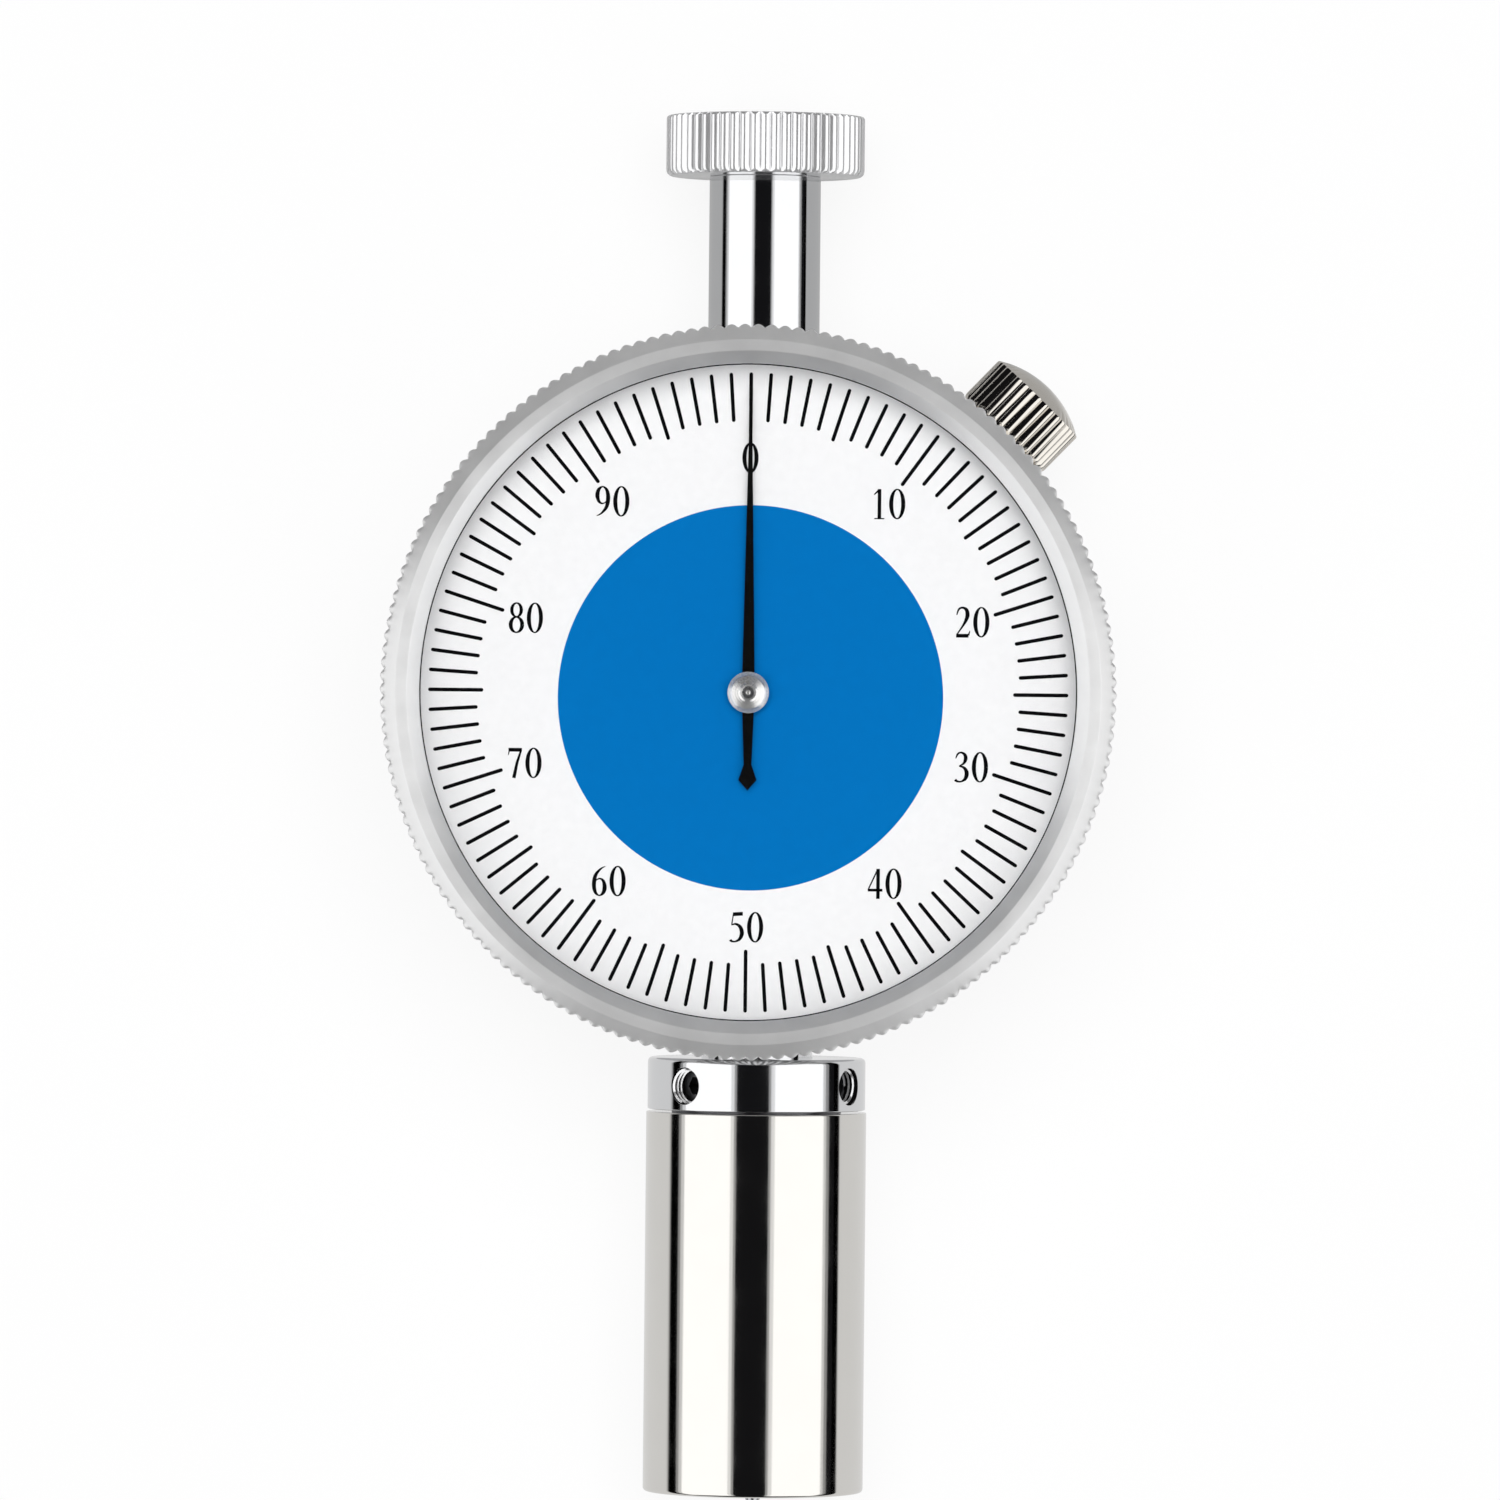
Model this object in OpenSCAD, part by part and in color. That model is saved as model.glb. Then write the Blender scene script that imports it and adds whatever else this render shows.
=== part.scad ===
// A dial hardness gauge with a flat round foot and a spring loaded indenter.
// It lies on its back cover: +Z is the way the dial faces and +Y runs up the stem.
// The origin is the middle of the back cover's rear face. Sizes are in millimetres.

/* [Bezel and dial] */
// Diameter over the bezel's scallops
bezel_d = 60; // [56:0.5:66]
// Thickness of the bezel's wall over the neck of the case
bezel_wall = 2.4; // [2:0.1:3]
// Scallops around the bezel
bezel_scallops = 170; // [140:2:190]
// Depth of each scallop
scallop_depth = 0.33; // [0.2:0.01:0.45]
// Height of the two slopes beside the bezel's front ring
slope_h = 0.8; // [0.6:0.1:1.2]
// Width of the bezel's outer slope
outer_slope_w = 0.92; // [0.6:0.02:1.1]
// Width of the bezel's inner slope
inner_slope_w = 1; // [0.6:0.05:1.2]
// Reach of the bezel's lip over the crystal
lip_w = 0.8; // [0.5:0.05:1]
// Thickness of that lip below the inner slope
lip_t = 0.7; // [0.5:0.1:1.2]
// Thickness of the bezel's rear flange
flange_t = 1.5; // [1.2:0.1:2]
// Step from the scallops in to the rear flange
flange_step = 1; // [0.8:0.1:1.2]
// Thickness of the crystal
crystal_t = 1; // [0.8:0.1:1.6]
// Height of the spacer ring between dial and crystal
spacer_h = 1.5; // [1.4:0.1:2.6]
// Thickness of the dial plate
dial_t = 0.6; // [0.4:0.1:1]
// Diameter of the hole in the dial for the pointer's arbor
dial_hole_d = 3; // [2.4:0.1:5]
// Wire of the ring that keeps the bezel on the neck
wire_d = 0.8; // [0.6:0.05:1]

/* [Case] */
// Wall of the case
case_wall = 3; // [2.6:0.1:3.6]
// Step from the barrel in to the neck
neck_step = 0.68; // [0.5:0.02:0.9]
// Length of the neck inside the bezel
neck_l = 4.4; // [4:0.1:5]
// Thickness of the back cover
cover_t = 1.6; // [1.4:0.1:2.4]
// Thickness of the ledge that carries the movement
ledge_t = 1.4; // [1:0.1:2]
// Width of that ledge
ledge_w = 3.2; // [2.6:0.1:4]
// Diameter of the case's screws
screw_d = 2; // [1.6:0.1:2.4]

/* [Stem and foot] */
// Sideways offset of the stem from the dial's centre
stem_x = 1; // [0:0.1:1.5]
// Diameter of the stem above and below the case
stem_d = 9.2; // [8.4:0.1:9.6]
// Length of stem between the bezel's edge and the top knob
stem_l = 12.7; // [11:0.1:18]
// Diameter of the top knob
top_knob_d = 16.4; // [14:0.1:18]
// Height of the top knob
top_knob_h = 5; // [4:0.1:7]
// Flutes around the top knob
top_knob_flutes = 56; // [40:2:70]
// Diameter of the collar
collar_d = 18; // [17:0.1:18.2]
// Height of the collar's head
collar_h = 4.3; // [4:0.1:6]
// Thread of the collar's two set screws
set_screw_d = 3; // [2:0.1:3.4]
// Turn of the left set screw away from the front
set_screw_left = 41.4; // [30:0.1:60]
// Turn of the right set screw away from the front
set_screw_right = 58.4; // [40:0.1:80]
// Diameter of the foot sleeve
foot_d = 18.2; // [17.6:0.1:18.8]
// Length of the foot sleeve
foot_l = 31.4; // [30:0.1:36]
// Bore of the foot sleeve
foot_bore_d = 14; // [13:0.1:15]
// Thickness of the foot's flat end
foot_t = 3; // [2:0.1:4]
// Hole in the foot for the indenter
foot_hole_d = 3; // [2.6:0.1:3.4]

/* [Spindle and spring] */
// Travel of the indenter, which is one turn of the pointer
travel = 2.5; // [2.3:0.05:2.6]
// Diameter of the spindle
spindle_d = 4; // [3.8:0.1:4.4]
// Diameter of the indenter
indenter_d = 1.25; // [1.1:0.01:1.4]
// Full angle of the indenter's cone
indenter_angle = 30; // [25:1:40]
// Wire of the main spring
spring_wire_d = 1.6; // [1.2:0.1:1.7]
// Mean diameter of the main spring
spring_mean_d = 9; // [8:0.1:10]
// Turns of the main spring, end turns included
spring_turns = 7; // [6:0.5:7.5]

/* [Movement] */
// Teeth of the pinion on the rack
rack_pinion_teeth = 16; // [15:1:18]
// Teeth of the drive gear and of the take-up gear
wheel_teeth = 60; // [56:2:64]
// Teeth of the pinion that carries the pointer
centre_teeth = 15; // [14:1:16]
// Module of the drive gear
gear_module = 0.25; // [0.24:0.005:0.27]
// Thickness of the gears
gear_t = 1; // [0.8:0.1:1.2]
// Thickness of the main plate
main_plate_t = 1.4; // [1:0.1:1.8]
// Thickness of the two bridges
bridge_t = 1; // [0.8:0.1:1.4]
// Depth of the rack's pitch line below the spindle's surface
rack_inset = 0.7; // [0.6:0.05:0.8]
// Direction of the take-up gear from the dial's centre
take_up_angle = 120; // [112:1:130]
// Turns of the hairspring
hairspring_turns = 5; // [3:1:6]

/* [Pointer] */
// Reach of the pointer from its pivot
pointer_l = 25; // [22:0.1:25.6]
// Reach of the pointer's tail
pointer_tail = 8; // [7.6:0.1:10]
// Width of the pointer at its hub
pointer_w = 1.06; // [0.8:0.02:1.4]
// Width of the pointer at its tip
pointer_tip_w = 0.14; // [0.1:0.01:0.3]
// Diameter of the pointer's hub
pointer_hub_d = 3.4; // [3:0.1:4]

/* [Bezel clamp] */
// Direction of the clamp from the dial's centre
clamp_angle = 46; // [36:0.5:55]
// Diameter of the clamp knob
clamp_knob_d = 9.1; // [8.4:0.1:9.6]
// Length of the clamp knob's fluted part
clamp_knob_l = 4.2; // [3:0.1:6]
// Height of the clamp knob's domed end
clamp_dome_h = 1.3; // [0.8:0.1:2]
// Flutes around the clamp knob
clamp_knob_flutes = 34; // [26:2:40]
// Thread of the clamp screw
clamp_screw_d = 3; // [2.6:0.1:3.4]
// Width of the clamp shoe
shoe_w = 8; // [7:0.1:8.4]

/* [Hidden] */
$fn = 96;

// Clearances and small edges shared by the pieces
press_gap = 0.01;
pivot_gap = 0.03;
slide_gap = 0.03;
turn_gap = 0.08;
seat_gap = 0.1;
free_gap = 0.2;
end_gap = 0.3;
cut = 0.5;
edge = 0.3;
knurl_relief = 0.06;

// Heights along Z, stacked from the floor up through the movement to the bezel's front
foot_r = foot_d / 2;
spindle_r = spindle_d / 2;
stem_r = stem_d / 2;
stem_z = foot_r + end_gap;
plate_gap = 0.8;
plate_z = stem_z + spindle_r + plate_gap;
plate_top = plate_z + main_plate_t;
gear_gap = 0.4;
gear_z = plate_top + gear_gap;
gear_top = gear_z + gear_t;
hairspring_h = 0.8;
hairspring_z = gear_top + end_gap;
bridge_z = hairspring_z + hairspring_h + end_gap;
bridge_top = bridge_z + bridge_t;
bridge_head_h = 0.7;
head_gap = 2.1;
dial_z = bridge_top + bridge_head_h + head_gap;
dial_top = dial_z + dial_t;
crystal_z = dial_top + spacer_h;
lip_z = crystal_z + crystal_t;
bezel_front = lip_z + lip_t + slope_h;
dial_ring_t = 0.6;
dial_ring_w = 1;
ring_middle = 90;
ring_mouth = 10;
wire_mouth = 8;
dial_ring_z = dial_z - seat_gap - dial_ring_t;
neck_top = dial_ring_z - free_gap;
barrel_top = neck_top - neck_l;
bezel_rear = barrel_top + free_gap;
flange_top = bezel_rear + flange_t;
wire_z = flange_top + wire_d / 2;
rear_gap = 1.8;
rear_bridge_z = stem_z - spindle_r - rear_gap - bridge_t;

// Radii about the dial's axis
bezel_r = bezel_d / 2;
bezel_body_r = bezel_r - scallop_depth - knurl_relief;
bezel_bore_r = bezel_r - bezel_wall;
lip_r = bezel_bore_r - lip_w;
glass_r = bezel_bore_r - seat_gap;
neck_r = bezel_bore_r - turn_gap;
barrel_r = neck_r + neck_step;
case_r = barrel_r - case_wall;
flange_r = bezel_r - flange_step;
wire_r = (neck_r + bezel_bore_r) / 2;
wire_groove = wire_d / 2 + seat_gap / 2;
plate_r = case_r - free_gap;
screw_r = screw_d / 2;
screw_head_r = screw_r * 1.7;
screw_head_h = screw_r;
screw_boss_wall = 1.4;
screw_inset = 2;
screw_boss_r = screw_r + screw_boss_wall;
screw_ring_r = case_r - screw_inset;
screw_depth = 4;
screw_angles = [10, 170, 215, 325];
slot_w = 0.5;
slot_depth = 0.35;

// Places along the stem
collar_top = -(bezel_r + seat_gap);
collar_bottom = collar_top - collar_h;
foot_top = collar_bottom - free_gap;
foot_bottom = foot_top - foot_l;
foot_floor = foot_bottom + foot_t;
foot_bore_r = foot_bore_d / 2;
collar_r = collar_d / 2;
spigot_l = 6.6;
spigot_bottom = collar_bottom - spigot_l;
adjuster_t = 3;
adjuster_bottom = spigot_bottom - free_gap - adjuster_t;
seat_t = 2;
seat_bottom = foot_floor + seat_gap;
seat_top = seat_bottom + seat_t;
seat_margin = 1;
seat_r = foot_bore_r - seat_margin;
stem_margin = 1;
stem_bore_r = spindle_r + stem_margin;
stem_in = case_r + seat_gap;
knob_bottom = bezel_r + stem_l;
knob_r = top_knob_d / 2;
stud_margin = 0.45;
stud_r = spindle_r + stud_margin;
stud_l = 5.5;
bush_l = 7.5;
spindle_end = 1.3;
spindle_top = stem_in + bush_l - spindle_end;
set_screw_r = set_screw_d / 2;
set_screw_up = 2.05;
set_screw_y = collar_bottom + set_screw_up;
set_screw_l = 2.8;
indenter_r = indenter_d / 2;
indenter_tip = foot_bottom - travel;
indenter_grip = 5;
indenter_root = seat_bottom + indenter_grip;
indenter_tip_r = 0.1;

// Gear train: the rack turns its pinion, whose wheel turns the pointer once in the travel
train_ratio = wheel_teeth / centre_teeth;
rack_pitch = travel * train_ratio / rack_pinion_teeth;
rack_module = rack_pitch / PI;
rack_pinion_r = rack_module * rack_pinion_teeth / 2;
rack_line = spindle_r - rack_inset;
train_centres = gear_module * (wheel_teeth + centre_teeth) / 2;
pinion_x = stem_x - rack_line - rack_pinion_r;
pinion_y = -sqrt(pow(train_centres, 2) - pow(pinion_x, 2));
take_up_x = train_centres * cos(take_up_angle);
take_up_y = train_centres * sin(take_up_angle);
pressure_angle = 20;
tip_share = 0.8;
root_share = 1.1;
tooth_thin = 0.05;
flank_steps = 3;
rack_margin = 1.6;
rack_half = rack_pinion_r + rack_margin;
pinion_half = sqrt(pow(spindle_r, 2) - pow(rack_line, 2));
arbor_r = 0.75;
pinion_shaft_r = 1.1;
pivot_r = 0.45;
wheel_r = gear_module * wheel_teeth / 2;
wheel_hole_r = wheel_r * 0.18;
wheel_hole_ring = wheel_r * 0.55;
wheel_holes = 6;

// Angles that bring the teeth into mesh at rest
drive_angle = atan2(-pinion_y, -pinion_x);
centre_turn = drive_angle + 180 - 180 / centre_teeth;
take_up_phase = (take_up_angle - centre_turn) * centre_teeth / 360;
take_up_turn = take_up_angle + 180 - 360 / wheel_teeth * (0.5 - take_up_phase);

// Posts and bridges of the movement
pillar_r = 1.5;
pillar_gap = 0.6;
pillar_ring_r = train_centres + wheel_r + pillar_gap;
pillar_angles = [20, 190, 305];
pillar_pin_r = 0.9;
bridge_edge = 0.8;
bridge_r = pillar_ring_r + pillar_r + bridge_edge;
bridge_screw_r = 0.7;
bridge_screw_l = 1.6;
bridge_head_r = 1.3;
rear_pillar_reach = [7, 5];
rear_pillar_x = [pinion_x - rear_pillar_reach[0], stem_x + spindle_r + rear_pillar_reach[1]];
rear_bridge_wall = 2.1;
rear_bridge_w = travel + 2 * rear_bridge_wall;
guide_pin_r = 0.6;
guide_pin_depth = 1.2;
guide_y = pinion_y - travel / 2;
collet_r = 1.15;
strip_t = 0.18;
hairspring_inset = 2.2;
hairspring_r = wheel_r - hairspring_inset;
stud_angle = 0;
hair_stud_r = 0.5;
hair_stud_ring = hairspring_r + strip_t + hair_stud_r;

// Pointer and its hub
hub_lift = 0.25;
hub_z = dial_top + hub_lift;
hub_top = crystal_z - end_gap;
pointer_t = 0.2;
pointer_lift = 0.15;
pointer_z = hub_z + pointer_lift;
tail_neck_w = pointer_w * 0.6;
tail_spade_w = pointer_w * 1.4;
tail_spade_l = 2.1;
tail_point_l = 0.85;
tail_neck_at = pointer_tail - tail_spade_l;
tail_spade_at = pointer_tail - tail_point_l;
hub_r = pointer_hub_d / 2;
hub_waist_r = hub_r * 0.62;
hub_pin_r = 0.45;
hub_rim_h = 0.25;
hub_face_r = hub_r - 0.6;

// Bezel clamp
clamp_screw_r = clamp_screw_d / 2;
clamp_boss_wall = 1.1;
clamp_boss_r = clamp_screw_r + clamp_boss_wall;
clamp_z = plate_z - clamp_boss_r - free_gap;
clamp_gap = 0.25;
clamp_flat_r = neck_r + free_gap;
shoe_r = flange_r + clamp_gap;
shoe_inset = 0.2;
shoe_drop = 4;
shoe_out_r = bezel_r - shoe_inset;
shoe_bottom = clamp_z - shoe_drop;
shoe_finger_top = flange_top - end_gap;
clamp_boss_l = 4;
clamp_screw_end = 0.6;
clamp_boss_in = case_r - clamp_boss_l;
clamp_screw_in = clamp_boss_in + clamp_screw_end;
clamp_face_r = shoe_out_r + slide_gap;
clamp_knob_r = clamp_knob_d / 2;
clamp_shoulder = 1;
clamp_shoulder_r = clamp_knob_r - clamp_shoulder;
clamp_shoulder_h = 0.1;
clamp_edge = 0.5;
knurl_depth = 0.3;
knurl_edge = 0.6;

// Placing helpers
module on_stem(y) translate([stem_x, y, stem_z]) rotate([-90, 0, 0]) children();
module on_clamp(r) rotate([0, 0, clamp_angle]) translate([r, 0, clamp_z]) rotate([0, 90, 0]) children();
module around(angles, ring) for (a = angles) rotate([0, 0, a]) translate([ring, 0, 0]) children();
module at_pinion() translate([pinion_x, pinion_y, 0]) children();
module at_take_up() translate([take_up_x, take_up_y, 0]) children();

// Shape helpers
module disc(r, z0, z1) translate([0, 0, z0]) cylinder(r = r, h = z1 - z0);

module ring(r_in, r_out, z0, z1) {
    difference() {
        disc(r_out, z0, z1);
        disc(r_in, z0 - cut, z1 + cut);
    }
}

module sector(r, from, to) {
    polygon([
        [0, 0],
        [r * cos(from), r * sin(from)],
        [r * cos((from + to) / 2), r * sin((from + to) / 2)],
        [r * cos(to), r * sin(to)]
    ]);
}

// Half section of a round bar with one rounded edge at its low end
module rounded_section(r, h, c) {
    union() {
        translate([0, c]) square([r, h - c]);
        square([r - c, h]);
        translate([r - c, c]) circle(r = c, $fn = 32);
    }
}

// Half section of a round bar with both edges rounded
module pill_section(r, h, c) {
    union() {
        translate([0, c]) square([r, h - 2 * c]);
        square([r - c, h]);
        translate([r - c, c]) circle(r = c, $fn = 32);
        translate([r - c, h - c]) circle(r = c, $fn = 32);
    }
}

// Prism with an even row of ridges around it
module ridged(r, depth, count, h) {
    linear_extrude(h)
        polygon([
            for (i = [0 : 4 * count - 1])
                let (a = 90 * i / count, s = r - depth * (1 - cos(90 * i)) / 2) [s * cos(a), s * sin(a)]
        ]);
}

// Involute outline of a gear whose first tooth points along +X
function involute(a) = tan(a) * 180 / PI - a;
function tooth_half(r, base, pitch_half, s) =
    pitch_half + involute(pressure_angle) - involute(acos(min(1, base / s)));

module gear_outline(teeth, m) {
    r = m * teeth / 2;
    base = r * cos(pressure_angle);
    tip = r + tip_share * m;
    root = r - root_share * m;
    low = max(base, root);
    pitch_half = 90 / teeth - tooth_thin / 2 / r * 180 / PI;
    flank = [for (i = [0 : flank_steps]) low + (tip - low) * i / flank_steps];
    foot = root < low ? [[root, tooth_half(r, base, pitch_half, low)]] : [];
    half = concat(foot, [for (s = flank) [s, tooth_half(r, base, pitch_half, s)]]);
    count = len(half);
    polygon([
        for (t = [0 : teeth - 1], i = [0 : 2 * count - 1])
            let (
                p = i < count ? half[i] : half[2 * count - 1 - i],
                a = 360 * t / teeth + (i < count ? -p[1] : p[1])
            ) [p[0] * cos(a), p[0] * sin(a)]
    ]);
}

module wheel(bore) {
    difference() {
        linear_extrude(gear_t) gear_outline(wheel_teeth, gear_module);
        disc(bore, -cut, gear_t + cut);
        around([for (i = [0 : wheel_holes - 1]) 360 * i / wheel_holes], wheel_hole_ring)
            disc(wheel_hole_r, -cut, gear_t + cut);
    }
}

// Screw with a slotted round head, its head's underside at zero and its shank below
module pan_screw(r, head_r, head_h, l) {
    difference() {
        union() {
            disc(r, -l, 0.1);
            disc(head_r, 0, head_h);
        }
        translate([-head_r - cut, -slot_w / 2, head_h - slot_depth]) cube([2 * head_r + 2 * cut, slot_w, cut + 1]);
    }
}

// Case: barrel, neck, ledge for the movement, screw bosses, stem holes and clamp seat
module case_body() {
    rotate_extrude()
        polygon([
            [case_r, cover_t], [barrel_r - edge, cover_t], [barrel_r, cover_t + edge], [barrel_r, barrel_top],
            [neck_r, barrel_top], [neck_r, wire_z - wire_d / 2 - seat_gap / 2],
            [neck_r - wire_groove, wire_z - wire_d / 2 - seat_gap / 2],
            [neck_r - wire_groove, wire_z + wire_d / 2 + seat_gap / 2],
            [neck_r, wire_z + wire_d / 2 + seat_gap / 2], [neck_r, neck_top - edge], [neck_r - edge, neck_top],
            [case_r, neck_top], [case_r, plate_z], [case_r - ledge_w, plate_z],
            [case_r - ledge_w, plate_z - ledge_t], [case_r, plate_z - ledge_t]
        ]);
}

module case_bosses() {
    around(screw_angles, screw_ring_r) disc(screw_boss_r, cover_t, plate_z - seat_gap);
    on_clamp(clamp_boss_in) disc(clamp_boss_r, 0, barrel_r - clamp_boss_in - neck_step - edge);
}

module case_cuts() {
    around(screw_angles, screw_ring_r) {
        disc(screw_r + press_gap, cover_t - cut, cover_t + screw_depth);
        disc(screw_r + press_gap, plate_z - screw_depth, plate_z + cut);
    }
    on_stem(-barrel_r - cut) disc(spindle_r + end_gap, 0, 2 * barrel_r + 2 * cut);
    on_stem(stem_in) disc(stem_r + press_gap, 0, barrel_r);
    on_stem(-stem_in - barrel_r) disc(stem_r + press_gap, 0, barrel_r);
    on_clamp(clamp_boss_in - cut) disc(clamp_screw_r, 0, barrel_r);
    rotate([0, 0, clamp_angle])
        translate([clamp_flat_r, -shoe_w / 2 - slide_gap, shoe_bottom - end_gap])
            cube([barrel_r, shoe_w + 2 * slide_gap, barrel_top - shoe_bottom + 2 * end_gap]);
}

module case() {
    color("silver")
        difference() {
            union() {
                case_body();
                intersection() {
                    case_bosses();
                    disc(barrel_r - edge, cover_t, neck_top);
                }
            }
            case_cuts();
        }
}

module back_cover() {
    r = barrel_r - edge;
    color("silver")
        difference() {
            rotate_extrude() polygon([[0, 0], [r - edge, 0], [r, edge], [r, cover_t], [0, cover_t]]);
            around(screw_angles, screw_ring_r) {
                disc(screw_r + seat_gap, -cut, cover_t + cut);
                translate([0, 0, -seat_gap])
                    cylinder(r1 = screw_head_r + 2 * seat_gap, r2 = screw_r + seat_gap, h = screw_head_h);
            }
        }
}

module cover_screws() {
    color("dimgray")
        around(screw_angles, screw_ring_r)
            difference() {
                union() {
                    disc(screw_r, seat_gap, cover_t + screw_depth - seat_gap);
                    translate([0, 0, seat_gap])
                        cylinder(r1 = screw_head_r - seat_gap, r2 = screw_r, h = screw_head_h - 2 * seat_gap);
                }
                translate([-screw_head_r - cut, -slot_w / 2, seat_gap - cut])
                    cube([2 * screw_head_r + 2 * cut, slot_w, slot_depth + cut]);
            }
}

module main_plate() {
    color("goldenrod")
        difference() {
            disc(plate_r, plate_z, plate_top);
            around(screw_angles, screw_ring_r) disc(screw_r + seat_gap, plate_z - cut, plate_top + cut);
            around(pillar_angles, pillar_ring_r) disc(pillar_pin_r + press_gap, plate_z - cut, plate_top + cut);
            for (x = rear_pillar_x)
                translate([x, pinion_y, 0]) disc(pillar_pin_r + press_gap, plate_z - cut, plate_top + cut);
            disc(pivot_r + pivot_gap, plate_z - cut, plate_top + cut);
            at_take_up() disc(pivot_r + pivot_gap, plate_z - cut, plate_top + cut);
            at_pinion() disc(rack_pinion_r + rack_module + end_gap, plate_z - cut, plate_top + cut);
        }
}

module plate_screws() {
    color("dimgray")
        around(screw_angles, screw_ring_r)
            translate([0, 0, plate_top])
                pan_screw(screw_r, screw_head_r, screw_head_h, main_plate_t + screw_depth - end_gap);
}

module front_bridge() {
    color("goldenrod")
        difference() {
            disc(bridge_r, bridge_z, bridge_top);
            around(pillar_angles, pillar_ring_r)
                disc(bridge_screw_r + seat_gap, bridge_z - cut, bridge_top + cut);
            disc(arbor_r + pivot_gap, bridge_z - cut, bridge_top + cut);
            at_pinion() disc(pivot_r + pivot_gap, bridge_z - cut, bridge_top + cut);
            at_take_up() {
                disc(pivot_r + pivot_gap, bridge_z - cut, bridge_top + cut);
                around([stud_angle], hair_stud_ring)
                    disc(hair_stud_r + press_gap, bridge_z - cut, bridge_top + cut);
            }
        }
}

module bridge_pillars() {
    color("goldenrod")
        around(pillar_angles, pillar_ring_r)
            difference() {
                union() {
                    disc(pillar_r, plate_top, bridge_z);
                    disc(pillar_pin_r, plate_z + seat_gap, plate_top + seat_gap);
                }
                disc(bridge_screw_r + press_gap, bridge_z - bridge_screw_l, bridge_z + cut);
            }
}

module bridge_screws() {
    color("dimgray")
        around(pillar_angles, pillar_ring_r)
            translate([0, 0, bridge_top])
                pan_screw(bridge_screw_r, bridge_head_r, bridge_head_h, bridge_t + bridge_screw_l - seat_gap);
}

// Rear bridge: carries the rack pinion's rear pivot and the slot that keeps the rack facing it
module rear_bridge() {
    slot_l = travel + 2 * (guide_pin_r + end_gap);
    mid = guide_y + travel / 2;
    color("goldenrod")
        difference() {
            translate([0, pinion_y, rear_bridge_z])
                linear_extrude(bridge_t)
                    union() {
                        for (x = rear_pillar_x) translate([x, 0]) circle(r = rear_bridge_w / 2);
                        translate([rear_pillar_x[0], -rear_bridge_w / 2])
                            square([rear_pillar_x[1] - rear_pillar_x[0], rear_bridge_w]);
                    }
            at_pinion() disc(pivot_r + pivot_gap, rear_bridge_z - cut, rear_bridge_z + bridge_t + cut);
            translate([stem_x - guide_pin_r - slide_gap, mid - slot_l / 2, rear_bridge_z - cut])
                cube([2 * (guide_pin_r + slide_gap), slot_l, bridge_t + 2 * cut]);
            for (x = rear_pillar_x)
                translate([x, pinion_y, 0])
                    disc(bridge_screw_r + seat_gap, rear_bridge_z - cut, rear_bridge_z + bridge_t + cut);
        }
}

module rear_pillars() {
    color("goldenrod")
        for (x = rear_pillar_x)
            translate([x, pinion_y, 0])
                difference() {
                    union() {
                        disc(pillar_r, rear_bridge_z + bridge_t, plate_z);
                        disc(pillar_pin_r, plate_z - seat_gap, plate_top - seat_gap);
                    }
                    disc(
                        bridge_screw_r + press_gap,
                        rear_bridge_z + bridge_t - cut,
                        rear_bridge_z + bridge_t + bridge_screw_l
                    );
                }
}

module rear_bridge_screws() {
    color("dimgray")
        for (x = rear_pillar_x)
            translate([x, pinion_y, rear_bridge_z])
                rotate([180, 0, 0])
                    pan_screw(bridge_screw_r, bridge_head_r, bridge_head_h, bridge_t + bridge_screw_l - seat_gap);
}

// Bezel: one turned ring with scallops, a lip over the crystal, two inner grooves and a rear flange
module bezel() {
    groove_low = dial_ring_z - seat_gap / 2;
    groove_high = dial_ring_z + dial_ring_t + seat_gap / 2;
    wire_low = wire_z - wire_d / 2 - seat_gap / 2;
    wire_high = wire_z + wire_d / 2 + seat_gap / 2;
    groove_r = bezel_bore_r + wire_groove;
    slope_z = bezel_front - slope_h;
    color("lightgray")
        union() {
            rotate_extrude()
                polygon([
                    [bezel_bore_r, bezel_rear], [flange_r, bezel_rear], [flange_r, flange_top],
                    [bezel_body_r - edge, flange_top], [bezel_body_r, flange_top + edge],
                    [bezel_body_r, slope_z], [bezel_body_r - outer_slope_w, bezel_front],
                    [lip_r + inner_slope_w, bezel_front], [lip_r, slope_z], [lip_r, lip_z],
                    [bezel_bore_r, lip_z], [bezel_bore_r, groove_high], [groove_r, groove_high],
                    [groove_r, groove_low], [bezel_bore_r, groove_low], [bezel_bore_r, wire_high],
                    [groove_r, wire_high], [groove_r, wire_low], [bezel_bore_r, wire_low]
                ]);
            translate([0, 0, flange_top + edge])
                difference() {
                    ridged(bezel_r, scallop_depth, bezel_scallops, slope_z - flange_top - edge);
                    disc(bezel_body_r - edge, -cut, bezel_front);
                }
        }
}

module crystal() {
    color("lightcyan", 0.4)
        rotate_extrude()
            polygon([
                [0, crystal_z], [glass_r, crystal_z], [glass_r, lip_z - edge], [glass_r - edge, lip_z], [0, lip_z]
            ]);
}

module spacer_ring() {
    color("lightgray") ring(lip_r + seat_gap, glass_r, dial_top, crystal_z);
}

module dial_plate() {
    color("white") ring(dial_hole_d / 2, glass_r, dial_z, dial_top);
}

// Open spring ring that holds the dial in the bezel's front groove
module dial_ring() {
    r_out = bezel_bore_r + wire_groove - seat_gap;
    color("dimgray")
        translate([0, 0, dial_ring_z])
            linear_extrude(dial_ring_t)
                difference() {
                    circle(r = r_out);
                    circle(r = r_out - dial_ring_w);
                    sector(2 * r_out, ring_middle - ring_mouth, ring_middle + ring_mouth);
                }
}

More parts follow.
